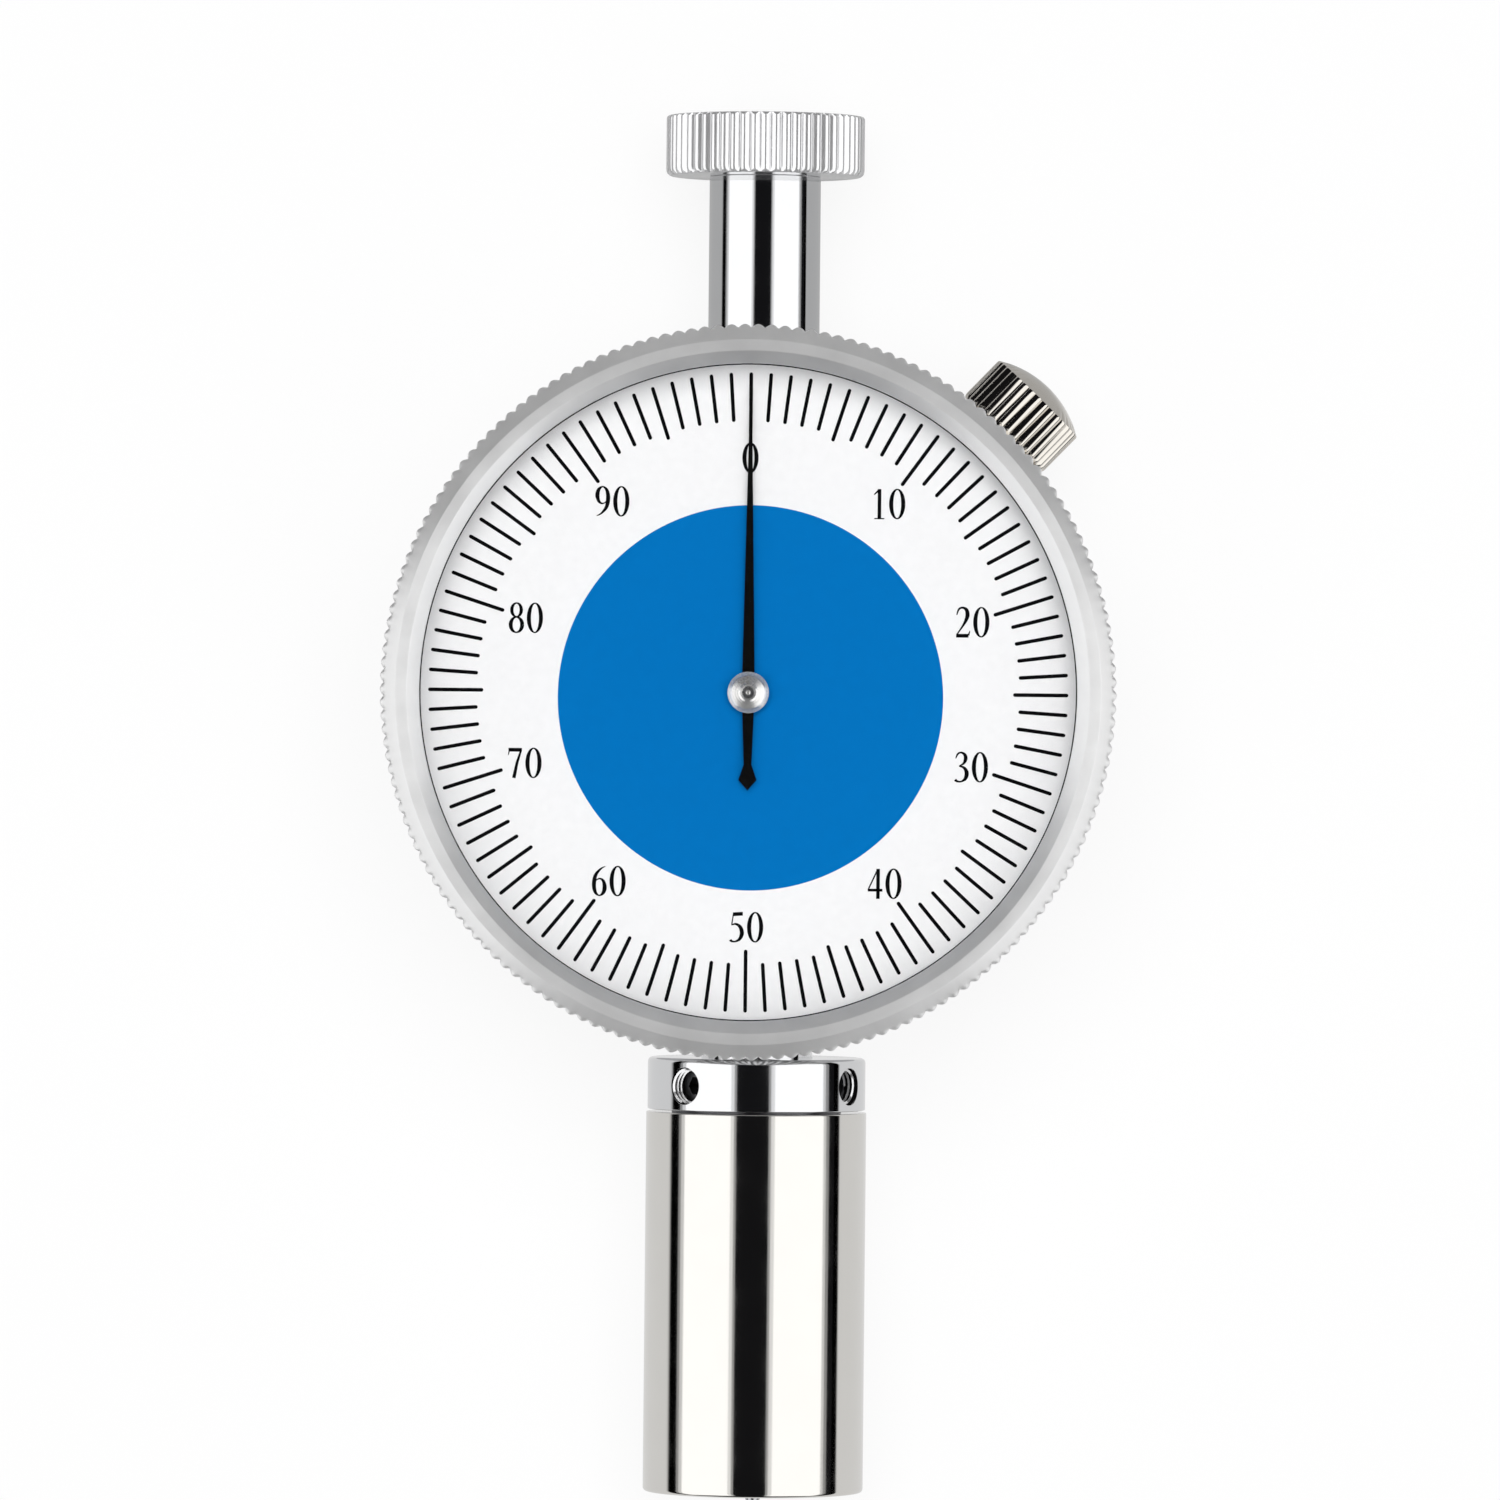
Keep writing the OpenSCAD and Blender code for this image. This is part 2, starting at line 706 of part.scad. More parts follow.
// Open wire ring that joins the bezel to the neck and lets it turn
module bezel_wire() {
    color("dimgray")
        difference() {
            rotate_extrude() translate([wire_r, wire_z]) circle(r = wire_d / 2, $fn = 32);
            translate([0, 0, wire_z - wire_d])
                linear_extrude(2 * wire_d)
                    sector(2 * wire_r, ring_middle - wire_mouth, ring_middle + wire_mouth);
        }
}

module centre_pinion() {
    color("gold")
        union() {
            disc(pivot_r, plate_z + seat_gap, gear_z);
            translate([0, 0, gear_z - seat_gap])
                linear_extrude(gear_t + 2 * seat_gap) rotate(centre_turn) gear_outline(centre_teeth, gear_module);
            disc(arbor_r, gear_top, hub_z - seat_gap);
            disc(hub_pin_r, hub_z - 2 * seat_gap, hub_top - seat_gap);
        }
}

module pointer() {
    color("black")
        translate([0, 0, pointer_z])
            linear_extrude(pointer_t)
                difference() {
                    union() {
                        circle(r = hub_r * 0.8);
                        polygon([
                            [pointer_w / 2, 0], [pointer_tip_w / 2, pointer_l], [-pointer_tip_w / 2, pointer_l],
                            [-pointer_w / 2, 0], [-tail_neck_w / 2, -tail_neck_at],
                            [-tail_spade_w / 2, -tail_spade_at], [0, -pointer_tail],
                            [tail_spade_w / 2, -tail_spade_at], [tail_neck_w / 2, -tail_neck_at]
                        ]);
                    }
                    circle(r = hub_waist_r + press_gap);
                }
}

// Turned hub that carries the pointer on the arbor
module pointer_hub() {
    z_flange = pointer_z + pointer_t;
    z_step = z_flange + hub_rim_h;
    color("silver")
        rotate_extrude()
            polygon([
                [hub_pin_r + press_gap, hub_z], [hub_waist_r, hub_z], [hub_waist_r, z_flange],
                [hub_r, z_flange], [hub_r, z_step], [hub_face_r, hub_top], [hub_pin_r + press_gap, hub_top]
            ]);
}

module rack_pinion() {
    color("gold")
        at_pinion()
            union() {
                disc(pivot_r, rear_bridge_z + seat_gap, stem_z);
                disc(arbor_r, rear_bridge_z + bridge_t + seat_gap, stem_z);
                translate([0, 0, stem_z - pinion_half])
                    linear_extrude(2 * pinion_half) gear_outline(rack_pinion_teeth, rack_module);
                disc(pinion_shaft_r, stem_z, gear_top + seat_gap);
                disc(pivot_r, gear_z, bridge_top - seat_gap);
            }
}

module drive_gear() {
    color("gold")
        at_pinion() translate([0, 0, gear_z]) rotate(drive_angle) wheel(pinion_shaft_r + press_gap);
}

module take_up_gear() {
    color("gold") at_take_up() translate([0, 0, gear_z]) rotate(take_up_turn) wheel(arbor_r + press_gap);
}

module take_up_arbor() {
    color("silver")
        at_take_up()
            union() {
                disc(pivot_r, plate_z + seat_gap, bridge_top - seat_gap);
                disc(arbor_r, gear_z - seat_gap, bridge_z - seat_gap);
                disc(collet_r, gear_top + seat_gap / 2, hairspring_z + hairspring_h);
            }
}

// Flat spiral from the collet out to the stud in the front bridge
module hairspring() {
    steps = 30 * hairspring_turns;
    inner = collet_r + strip_t / 2 + press_gap;
    growth = (hairspring_r - inner) / steps;
    turn = 360 * hairspring_turns / steps;
    color("steelblue")
        at_take_up()
            translate([0, 0, hairspring_z])
                linear_extrude(hairspring_h)
                    rotate(stud_angle)
                        polygon(concat(
                            [for (i = [0 : steps])
                                let (s = inner + growth * i + strip_t / 2) [s * cos(turn * i), s * sin(turn * i)]],
                            [for (i = [steps : -1 : 0])
                                let (s = inner + growth * i - strip_t / 2) [s * cos(turn * i), s * sin(turn * i)]]
                        ));
}

module hairspring_stud() {
    color("silver")
        at_take_up() around([stud_angle], hair_stud_ring) disc(hair_stud_r, hairspring_z, bridge_top - seat_gap);
}

// Spindle: round rod with a rack cut along the side that faces the rack pinion
module rack_cut() {
    tip = rack_line + tip_share * rack_module;
    root = rack_line - root_share * rack_module;
    slope = tan(pressure_angle);
    half_tip = rack_pitch / 4 + tooth_thin / 2 + (tip - rack_line) * slope;
    half_root = rack_pitch / 4 + tooth_thin / 2 - (rack_line - root) * slope;
    spaces = ceil((travel + 2 * rack_half) / rack_pitch);
    low = -ceil((travel + rack_half) / rack_pitch);
    rack_l = (spaces + 1) * rack_pitch;
    translate([stem_x, pinion_y, stem_z - spindle_r - cut])
        linear_extrude(2 * spindle_r + 2 * cut)
            union() {
                translate([-spindle_r - cut, (low - 0.5) * rack_pitch]) square([spindle_r + cut - tip, rack_l]);
                for (i = [low : low + spaces])
                    translate([0, i * rack_pitch])
                        polygon([
                            [-tip - edge, -half_tip - edge * slope], [-root, -half_root], [-root, half_root],
                            [-tip - edge, half_tip + edge * slope]
                        ]);
            }
}

module spindle() {
    color("lightsteelblue")
        difference() {
            on_stem(seat_bottom)
                rotate_extrude()
                    polygon([
                        [0, 0], [spindle_r, 0], [spindle_r, spindle_top - seat_bottom - edge],
                        [spindle_r - edge, spindle_top - seat_bottom], [0, spindle_top - seat_bottom]
                    ]);
            rack_cut();
            on_stem(seat_bottom - cut) disc(indenter_r + press_gap, 0, indenter_root - seat_bottom + cut);
            translate([stem_x, guide_y, stem_z - spindle_r - cut])
                disc(guide_pin_r + press_gap, 0, guide_pin_depth + cut);
        }
}

module guide_pin() {
    color("silver")
        translate([stem_x, guide_y, 0])
            disc(guide_pin_r, rear_bridge_z + seat_gap, stem_z - spindle_r + guide_pin_depth - seat_gap);
}

module indenter() {
    cone_l = (indenter_r - indenter_tip_r) / tan(indenter_angle / 2);
    color("gray")
        on_stem(indenter_tip)
            rotate_extrude()
                polygon([
                    [0, 0], [indenter_tip_r, 0], [indenter_r, cone_l],
                    [indenter_r, indenter_root - indenter_tip - seat_gap],
                    [0, indenter_root - indenter_tip - seat_gap]
                ]);
}

module spring_seat() {
    color("silver")
        on_stem(seat_bottom)
            difference() {
                rotate_extrude()
                    polygon([[0, 0], [seat_r - edge, 0], [seat_r, edge], [seat_r, seat_t], [0, seat_t]]);
                disc(spindle_r + press_gap, -cut, seat_t + cut);
            }
}

// Main spring: round wire coiled around the spindle, with closed end turns
module main_spring() {
    sides = 8;
    steps = 20;
    rings = round(steps * spring_turns);
    wire = spring_wire_d / 2;
    clear = seat_gap / 2;
    length = adjuster_bottom - seat_top - spring_wire_d - 2 * clear;
    closed = spring_wire_d * 1.04;
    pitch = (length - 2 * closed) / (spring_turns - 2);
    function rise(t) =
        t < 1 ? closed * t
        : t > spring_turns - 1 ? length - closed * (spring_turns - t)
        : closed + pitch * (t - 1);
    points = [
        for (i = [0 : rings], k = [0 : sides - 1])
            let (
                a = 360 * i / steps,
                s = spring_mean_d / 2 + wire * cos(360 * k / sides),
                z = rise(i / steps) + wire + clear + wire * sin(360 * k / sides)
            ) [s * cos(a), s * sin(a), z]
    ];
    sides_faces = [
        for (i = [0 : rings - 1], k = [0 : sides - 1])
            let (n = (k + 1) % sides) [i * sides + k, i * sides + n, (i + 1) * sides + n, (i + 1) * sides + k]
    ];
    caps = [[for (k = [sides - 1 : -1 : 0]) k], [for (k = [0 : sides - 1]) rings * sides + k]];
    color("dimgray") on_stem(seat_top) polyhedron(points, concat(sides_faces, caps));
}

module spring_adjuster() {
    color("gold")
        on_stem(adjuster_bottom) ring(spindle_r + end_gap, foot_bore_r - press_gap, 0, adjuster_t);
}

module upper_stem() {
    color("gainsboro")
        on_stem(stem_in)
            difference() {
                disc(stem_r, 0, knob_bottom - stem_in);
                disc(stud_r + press_gap, -cut, knob_bottom - stem_in + cut);
                disc(stem_bore_r + press_gap, -cut, bush_l);
            }
}

module upper_bush() {
    color("peru") on_stem(stem_in) ring(spindle_r + slide_gap, stem_bore_r, 0, bush_l - seat_gap);
}

module top_knob() {
    fluted = top_knob_h - 2 * knurl_edge;
    color("gainsboro")
        on_stem(knob_bottom)
            union() {
                rotate_extrude() pill_section(knob_r - knurl_depth - knurl_relief, top_knob_h, knurl_edge);
                translate([0, 0, knurl_edge]) ridged(knob_r, knurl_depth, top_knob_flutes, fluted);
                disc(stud_r, -stud_l, knurl_edge);
            }
}

module lower_stem() {
    color("gainsboro") on_stem(spigot_bottom) ring(stem_bore_r + press_gap, stem_r, 0, -stem_in - spigot_bottom);
}

module lower_bush() {
    color("peru") on_stem(-stem_in - bush_l) ring(spindle_r + slide_gap, stem_bore_r, 0, bush_l);
}

// Collar: ring on the stem with two tapped holes and a threaded spigot for the foot sleeve
module collar() {
    spigot_r = foot_bore_r - press_gap;
    head = spigot_l + collar_h;
    color("gainsboro")
        difference() {
            on_stem(spigot_bottom)
                difference() {
                    rotate_extrude()
                        polygon([
                            [0, 0], [spigot_r - edge, 0], [spigot_r, edge], [spigot_r, spigot_l],
                            [collar_r - edge, spigot_l], [collar_r, spigot_l + edge], [collar_r, head - edge],
                            [collar_r - edge, head], [0, head]
                        ]);
                    disc(stem_r + press_gap, -cut, head + cut);
                }
            on_set_screws() disc(set_screw_r, 0, collar_r + cut);
        }
}

module on_set_screws() {
    for (a = [-set_screw_left, set_screw_right])
        translate([stem_x, set_screw_y, stem_z]) rotate([0, a, 0]) children();
}

module collar_screws() {
    out = stem_r + seat_gap + set_screw_l;
    color("dimgray")
        on_set_screws()
            difference() {
                disc(set_screw_r - press_gap, stem_r + seat_gap, out);
                translate([0, 0, out - set_screw_l / 2]) cylinder(r = set_screw_r * 0.55, h = set_screw_l, $fn = 6);
            }
}

module foot_sleeve() {
    foot_edge = 0.9;
    color("gainsboro")
        on_stem(foot_bottom)
            difference() {
                rotate_extrude() rounded_section(foot_r, foot_l, foot_edge);
                disc(foot_bore_r, foot_t, foot_l + cut);
                disc(foot_hole_d / 2, -cut, foot_t + cut);
            }
}

// Clamp shoe: block drawn in by the clamp screw, with a finger over the bezel's flange
module clamp_shoe() {
    shoe_in = clamp_flat_r + clamp_gap;
    color("silver")
        difference() {
            rotate([0, 0, clamp_angle])
                union() {
                    translate([shoe_in, -shoe_w / 2, shoe_bottom])
                        cube([shoe_out_r - shoe_in, shoe_w, barrel_top - seat_gap - shoe_bottom]);
                    translate([shoe_r, -shoe_w / 2, shoe_bottom])
                        cube([shoe_out_r - shoe_r, shoe_w, shoe_finger_top - shoe_bottom]);
                }
            on_clamp(shoe_in - cut) disc(clamp_screw_r + seat_gap, 0, shoe_out_r);
        }
}

module clamp_screw() {
    fluted = clamp_knob_l - clamp_edge;
    knob_at = clamp_shoulder_h;
    body_r = clamp_knob_r - knurl_depth - knurl_relief;
    dome_r = (pow(clamp_knob_r, 2) + pow(clamp_dome_h, 2)) / (2 * clamp_dome_h);
    knob_end = knob_at + clamp_knob_l + clamp_dome_h;
    color("tan")
        on_clamp(clamp_face_r)
            union() {
                disc(clamp_screw_r - slide_gap, clamp_screw_in - clamp_face_r, knob_at + clamp_edge);
                disc(clamp_shoulder_r, 0, knob_at + clamp_edge);
                translate([0, 0, knob_at + clamp_edge]) ridged(clamp_knob_r, knurl_depth, clamp_knob_flutes, fluted);
                intersection() {
                    translate([0, 0, knob_at])
                        rotate_extrude() rounded_section(body_r, knob_end - knob_at, clamp_edge);
                    translate([0, 0, knob_end - dome_r + press_gap]) sphere(r = dome_r);
                }
            }
}

case();
back_cover();
cover_screws();
main_plate();
plate_screws();
front_bridge();
bridge_pillars();
bridge_screws();
rear_bridge();
rear_pillars();
rear_bridge_screws();
bezel();
crystal();
spacer_ring();
dial_plate();
dial_ring();
bezel_wire();
centre_pinion();
pointer();
pointer_hub();
rack_pinion();
drive_gear();
take_up_gear();
take_up_arbor();
hairspring();
hairspring_stud();
spindle();
guide_pin();
indenter();
spring_seat();
main_spring();
spring_adjuster();
upper_stem();
upper_bush();
top_knob();
lower_stem();
lower_bush();
collar();
collar_screws();
foot_sleeve();
clamp_shoe();
clamp_screw();
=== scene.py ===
import math

import bmesh
import bpy
from mathutils import Matrix, Vector


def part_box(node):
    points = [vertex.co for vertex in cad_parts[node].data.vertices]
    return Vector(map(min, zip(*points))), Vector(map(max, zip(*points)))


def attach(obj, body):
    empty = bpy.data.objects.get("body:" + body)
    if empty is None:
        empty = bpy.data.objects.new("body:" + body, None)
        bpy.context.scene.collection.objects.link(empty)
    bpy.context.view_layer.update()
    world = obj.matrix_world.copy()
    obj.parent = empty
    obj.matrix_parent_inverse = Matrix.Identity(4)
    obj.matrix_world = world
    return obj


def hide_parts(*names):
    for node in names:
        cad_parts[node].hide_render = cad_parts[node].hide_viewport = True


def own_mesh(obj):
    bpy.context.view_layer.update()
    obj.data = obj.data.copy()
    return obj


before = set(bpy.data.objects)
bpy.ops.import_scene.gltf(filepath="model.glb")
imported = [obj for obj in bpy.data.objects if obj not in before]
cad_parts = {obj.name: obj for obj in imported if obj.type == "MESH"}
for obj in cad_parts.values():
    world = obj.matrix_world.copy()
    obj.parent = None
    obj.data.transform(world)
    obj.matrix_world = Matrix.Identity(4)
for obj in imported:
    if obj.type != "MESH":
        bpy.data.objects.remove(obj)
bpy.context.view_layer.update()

MM = 0.001


def corner(node, which, axis):
    """One coordinate of a CAD node's box in millimetres."""
    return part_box(node)[which][axis] / MM


LOW, HIGH = 0, 1
X, Y, Z = 0, 1, 2

# Places read from the frame
STEM_X = (corner("foot_sleeve", LOW, X) + corner("foot_sleeve", HIGH, X)) / 2
STEM_Z = (corner("foot_sleeve", LOW, Z) + corner("foot_sleeve", HIGH, Z)) / 2
FOOT_R = (corner("foot_sleeve", HIGH, X) - corner("foot_sleeve", LOW, X)) / 2
COLLAR_R = (corner("collar", HIGH, X) - corner("collar", LOW, X)) / 2
STEM_R = (corner("upper_stem", HIGH, X) - corner("upper_stem", LOW, X)) / 2
KNOB_R = (corner("top_knob", HIGH, X) - corner("top_knob", LOW, X)) / 2
BEZEL_R = corner("bezel", HIGH, X)
BEZEL_REAR = corner("bezel", LOW, Z)
BEZEL_FRONT = corner("bezel", HIGH, Z)
DIAL_TOP = corner("dial_plate", HIGH, Z)
CRYSTAL_TOP = corner("crystal", HIGH, Z)
CLAMP_Z = (corner("clamp_screw", LOW, Z) + corner("clamp_screw", HIGH, Z)) / 2

# Mesh detail: steps round a piece, steps in a rounded corner, and the angle of a sharp edge
LARGE_STEPS = 256
MIDDLE_STEPS = 128
SMALL_STEPS = 64
FEW_ARC_STEPS = 3
FOOT_ARC_STEPS = 8
SHARP = 32
THREAD_SHARP = 20
ARC_REACH = 0.49
AXIS_R = 1e-6

# Bezel sizes, with the two points of its shoulder as (in from the rim, up from the slope)
BEZEL_BORE_R = 27.6
BEZEL_LIP_R = 26.8
BEZEL_RING_IN = 27.8
BEZEL_RING_OUT = 28.72
BEZEL_FLANGE_R = 29.0
BEZEL_FLANGE_T = 1.5
BEZEL_SLOPE_H = 0.8
BEZEL_EDGE = 0.1
BEZEL_CREASE = 0.05
BEZEL_RING_EDGE = 0.12
BEZEL_CHAMFER = (0.35, 0.3)
SHOULDER_LOW = (0.3, 0.08)
SHOULDER_HIGH = (0.45, 0.19)
# Black ring on the crystal at the bezel's lip, a painted shadow line: its width, height and
# clearance
SHADE_LINE_W = 0.1
SHADE_LINE_H = 0.06
SHADE_LINE_CLEAR = 0.006
SCALLOPS = 170
SCALLOP_DEPTH = 0.29
SCALLOP_MARGIN = 0.1
SCALLOP_FADE = 0.15
SCALLOP_STEPS = 10

# Top knob sizes
KNOB_FLUTES = 56
KNOB_FLUTE_DEPTH = 0.26
KNOB_FLUTE_STEPS = 14
KNOB_EDGE = 0.6
KNOB_TOP_EDGE = 0.25
KNOB_FADE = KNOB_EDGE / 4
KNOB_STUD_R = 2.45
STUD_CLEAR = 0.02
STEM_EDGE = 0.1
STEM_BORE_R = 3.01

# Clamp screw sizes, with its rim as (in, up) and the flutes reaching a little past the rim
CLAMP_ANGLE = 46
CLAMP_KNOB_R = 4.55
CLAMP_KNOB_IN = 29.93
CLAMP_KNOB_L = 4.2
CLAMP_DOME_H = 1.3
CLAMP_DOME_STEPS = 10
CLAMP_EDGE = 0.55
CLAMP_GUARD = 0.05
CLAMP_RIM_DROP = 0.1
CLAMP_RIM = (0.06, 0.02)
CLAMP_FLUTES = 34
CLAMP_FLUTE_DEPTH = 0.24
CLAMP_FLUTE_OVER = 0.25
CLAMP_FLUTE_FADE = 0.3
CLAMP_FLUTE_STEPS = 16
CLAMP_SCREW_R = 1.47
CLAMP_SCREW_IN = 21.8
CLAMP_TIP_EDGE = 0.2
CLAMP_SHOULDER_R = 3.55
CLAMP_SHOULDER_EDGE = 0.1
CLAMP_FACE = 29.83

# Collar, foot and set screws
FOOT_BORE_R = 7.0
FOOT_EDGE = 0.35
FOOT_TOP_EDGE = 0.12
FOOT_BORE_EDGE = 0.1
FOOT_T = 3.0
FOOT_HOLE_R = 1.5
COLLAR_EDGE = 0.45
COLLAR_FOOT_EDGE = 0.12
COLLAR_H = 4.3
COLLAR_CLEAR = 0.01
SPIGOT_EDGE = 0.2
WALL_FACING = 0.99
WALL_SLACK = 0.01
SET_SCREW_UP = 2.05
SET_SCREW_R = 1.5
SET_SCREW_ANGLES = (-41.4, 58.4)
SET_SCREW_OUT = 7.5
HOLE_MOUTH_R = 1.53
HOLE_MOUTH_FROM = 0.28
HOLE_MOUTH_TO = 0.02
CUTTER_IN = 1
CUTTER_OUT = 0.6
# Thickness and clearance of the black bore lining that paints the shade in the set screw holes
SHADE_LINING_T = 0.03
SHADE_LINING_CLEAR = 0.005
THREAD_PITCH = 0.42
THREAD_DEPTH = 0.2
THREAD_HALF = 0.1
THREAD_STEPS = 40

# Pointer hub, with the points of its face as (radius, height above its top, corner radius)
HUB_R = 1.7
HUB_EDGE = 0.03
HUB_RIM_H = 0.12
HUB_RIM_EDGE = 0.04
HUB_FACE = ((1.34, -0.2, 0.05), (0.82, -0.08, 0.03), (0.64, 0, 0.03), (0.52, -0.01, 0.01))
HUB_WAIST_R = 1.05
HUB_BORE_R = 0.46
HUB_SINK = 0.12
HUB_TIP_R = 0.22
HUB_TIP_CLEAR = 0.01

# Main spring
SPRING_MEAN_R = 4.5
SPRING_WIRE_R = 0.8
SPRING_TURNS = 7
SPRING_CLOSED = 1.664
SPRING_STEPS = 48
SPRING_SIDES = 14

# Dial print
PRINT_LIFT = 0.012
BLUE_R = 15.74
BLUE_AT = (0.19, -0.44)
BLUE_LIFT = 0.006
BLUE_HOLE_GAP = 0.05
BLUE_STEPS = 192
DIAL_HOLE_R = 1.5
TICKS = 100
TICK_OUT = 26.15
TICK_IN_UNIT = 22.12
TICK_IN_FIVE = 21.63
TICK_IN_TEN = 21.01
TICK_W = 0.3
TICK_CAP_STEPS = 6
NUMERALS = 10
NUMERAL_RING = 19.17
NUMERAL_H = 2.49
NUMERAL_GAP = 0.2
NUMERAL_WIDE = 1.07
STROKE_BOLD = 1.22
STROKE_SWELL = 1.4
LOOP_POINTS = 20
GLYPH_W = 0.49

# Looks: relief heights are in metres, and a noise mostly stays between its two ends
NOISE_ENDS = (0.3, 0.7)
CLOUD_SCALE = 0.35
CLOUD_DETAIL = 4
LINE_DETAIL = 2
PAINT_DETAIL = 3
TOOL_RELIEF = 0.00002
PAINT_RELIEF = 0.00001
PAINT_DARKEST = 0.97
PAINT_SWING = 0.05
QUARTER_TURN = 0.25
SATIN_SHARE = 0.67
SATIN_FAN = 0.8
CRYSTAL_ROUGH = 0.01
CRYSTAL_IOR = 1.3

# Lamps: each strip is (from angle, to angle, share of the radiance) off the camera's axis.
# The strips beyond LOW_STRIP are seen in the metal and don't light what is matt.
LAMP_RADIANCE = 1.22
LAMP_DISTANCE = 0.7
LAMP_LENGTH = 0.97
LAMP_DOWN = 0.27
LEFT_STRIPS = (
    (20.5, 23, 0.3), (23, 26.5, 0.75), (26.5, 46, 1.1),
    (46, 80, 1.1), (80, 84.5, 0.6), (84.5, 88, 0.25),
)
RIGHT_STRIPS = (
    (13, 15.5, 0.3), (15.5, 19.5, 0.75), (19.5, 46, 1.1),
    (46, 75, 1.1), (75, 78.5, 0.6), (78.5, 82.5, 0.25),
)
LOW_STRIP = 45
FILL_RADIANCE = 4.7
FILL_UP = 0.3
FILL_DISTANCE = 1.2
FILL_HALF = 22
FILL_LENGTH = 1.0
WORLD_DARK = (0.008, 0.008, 0.009, 1)
WHITE = (1, 1, 1, 1)
BLACK = (0, 0, 0, 1)

# Floor: what the metal sees of it fades to the left, to the right and beside the upper stem
FLOOR_HALF = 3000
FLOOR_COLOUR = (0.9, 0.9, 0.9)
FLOOR_ROUGH = 0.9
FLOOR_CAMERA_SHARE = 0.88
FLOOR_GLOSSY_SHARE = 0.76
GLOW_MIDDLE = 17
GLOW_HALF = 101
GLOW_FADE = 22
GLOW_TOP = (23, 30)
GLOW_TOP_SHARE = 0.64

# Camera: the photograph is 1500 pixels wide and 12.09 pixels a millimetre in the stem's plane
PHOTO_W = 1500
PHOTO_SCALE = 12.09
CAMERA_AT = (0.193, -4.698)
CAMERA_DISTANCE = 928
CAMERA_ROLL = 0.56
CAMERA_NEAR = 0.05
CAMERA_FAR = 20
SENSOR = 36


# Mesh helpers
def build_mesh(name, verts, faces, material, body, sharp=SHARP, smooth=True):
    """A piece from millimetre points, smooth apart from its sharp edges, riding on a body."""
    mesh = bpy.data.meshes.new(name)
    mesh.from_pydata([Vector(v) * MM for v in verts], [], faces)
    mesh.validate()
    if smooth:
        shape = bmesh.new()
        shape.from_mesh(mesh)
        bmesh.ops.recalc_face_normals(shape, faces=shape.faces)
        shape.to_mesh(mesh)
        shape.free()
        mesh.shade_smooth()
        mesh.set_sharp_from_angle(angle=math.radians(sharp))
    mesh.materials.append(material)
    piece = bpy.data.objects.new(name, mesh)
    bpy.context.scene.collection.objects.link(piece)
    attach(piece, body)
    return piece


def rounded(points, arc_steps=5):
    """A profile with its corners rounded. Each point is (radius, height, corner radius)."""
    result = []
    count = len(points)
    for i, (r, h, c) in enumerate(points):
        here = Vector((r, h))
        before = Vector(points[i - 1][:2])
        after = Vector(points[(i + 1) % count][:2])
        if c <= 0 or i in (0, count - 1):
            result.append((r, h))
            continue
        d1 = (before - here).normalized()
        d2 = (after - here).normalized()
        half = d1.angle(d2) / 2
        room = min((before - here).length * ARC_REACH, (after - here).length * ARC_REACH)
        reach = min(c / math.tan(half), room)
        start = here + d1 * reach
        end = here + d2 * reach
        for k in range(arc_steps + 1):
            t = k / arc_steps
            p = start * (1 - t) ** 2 + here * (2 * t * (1 - t)) + end * t ** 2
            result.append((p.x, p.y))
    return result


def band(inner, outer, low, high):
    """The profile of a plain ring."""
    return [(inner, low), (outer, low), (outer, high), (inner, high)]


def lathe(name, profile, place, material, body, steps, ridge=None, closed=False):
    """A turned piece about its local Z. ridge(angle, r, h) gives how far a point sinks."""
    verts, rings, faces = [], [], []
    for r, h in profile:
        if r < AXIS_R:
            rings.append([len(verts)] * steps)
            verts.append(place @ Vector((0, 0, h)))
            continue
        ring = []
        for k in range(steps):
            a = 2 * math.pi * k / steps
            s = r - (ridge(a, r, h) if ridge else 0)
            ring.append(len(verts))
            verts.append(place @ Vector((s * math.cos(a), s * math.sin(a), h)))
        rings.append(ring)
    last = len(rings) if closed else len(rings) - 1
    for i in range(last):
        low, high = rings[i], rings[(i + 1) % len(rings)]
        for k in range(steps):
            n = (k + 1) % steps
            face = [low[k], low[n], high[n], high[k]]
            unique = list(dict.fromkeys(face))
            if len(unique) > 2:
                faces.append(unique)
    return build_mesh(name, verts, faces, material, body)


def bumps(count, depth, start, end, fade):
    """Rounded ridges between two heights, fading out over a short run at each end."""
    def ridge(a, r, h):
        inside = min((h - start) / fade, (end - h) / fade, 1)
        if inside <= 0:
            return 0
        return depth * inside * (1 - abs(math.cos(count * a / 2)))
    return ridge


ON_DIAL = Matrix.Identity(4)
ON_STEM = Matrix.Translation((STEM_X, 0, STEM_Z)) @ Matrix.Rotation(math.radians(-90), 4, "X")
ON_CLAMP = (
    Matrix.Rotation(math.radians(CLAMP_ANGLE), 4, "Z")
    @ Matrix.Translation((0, 0, CLAMP_Z))
    @ Matrix.Rotation(math.radians(90), 4, "Y")
)


# Node helpers
def math_node(tree, operation, first, second):
    """A calculation with two values, each a number or another node's output."""
    node = tree.nodes.new("ShaderNodeMath")
    node.operation = operation
    for socket, value in zip(node.inputs, (first, second)):
        if isinstance(value, (int, float)):
            socket.default_value = value
        else:
            tree.links.new(value, socket)
    return node.outputs["Value"]


def map_range(tree, value, source, target, smooth=False):
    """A value mapped from one range to another and held at both ends."""
    node = tree.nodes.new("ShaderNodeMapRange")
    if smooth:
        node.interpolation_type = "SMOOTHSTEP"
    for socket, number in zip(("From Min", "From Max", "To Min", "To Max"), (*source, *target)):
        node.inputs[socket].default_value = number
    tree.links.new(value, node.inputs["Value"])
    return node.outputs["Result"]


def mix_shaders(tree, share, first, second):
    node = tree.nodes.new("ShaderNodeMixShader")
    for value, socket in ((share, "Fac"), (first, 1), (second, 2)):
        tree.links.new(value, node.inputs[socket])
    return node.outputs["Shader"]


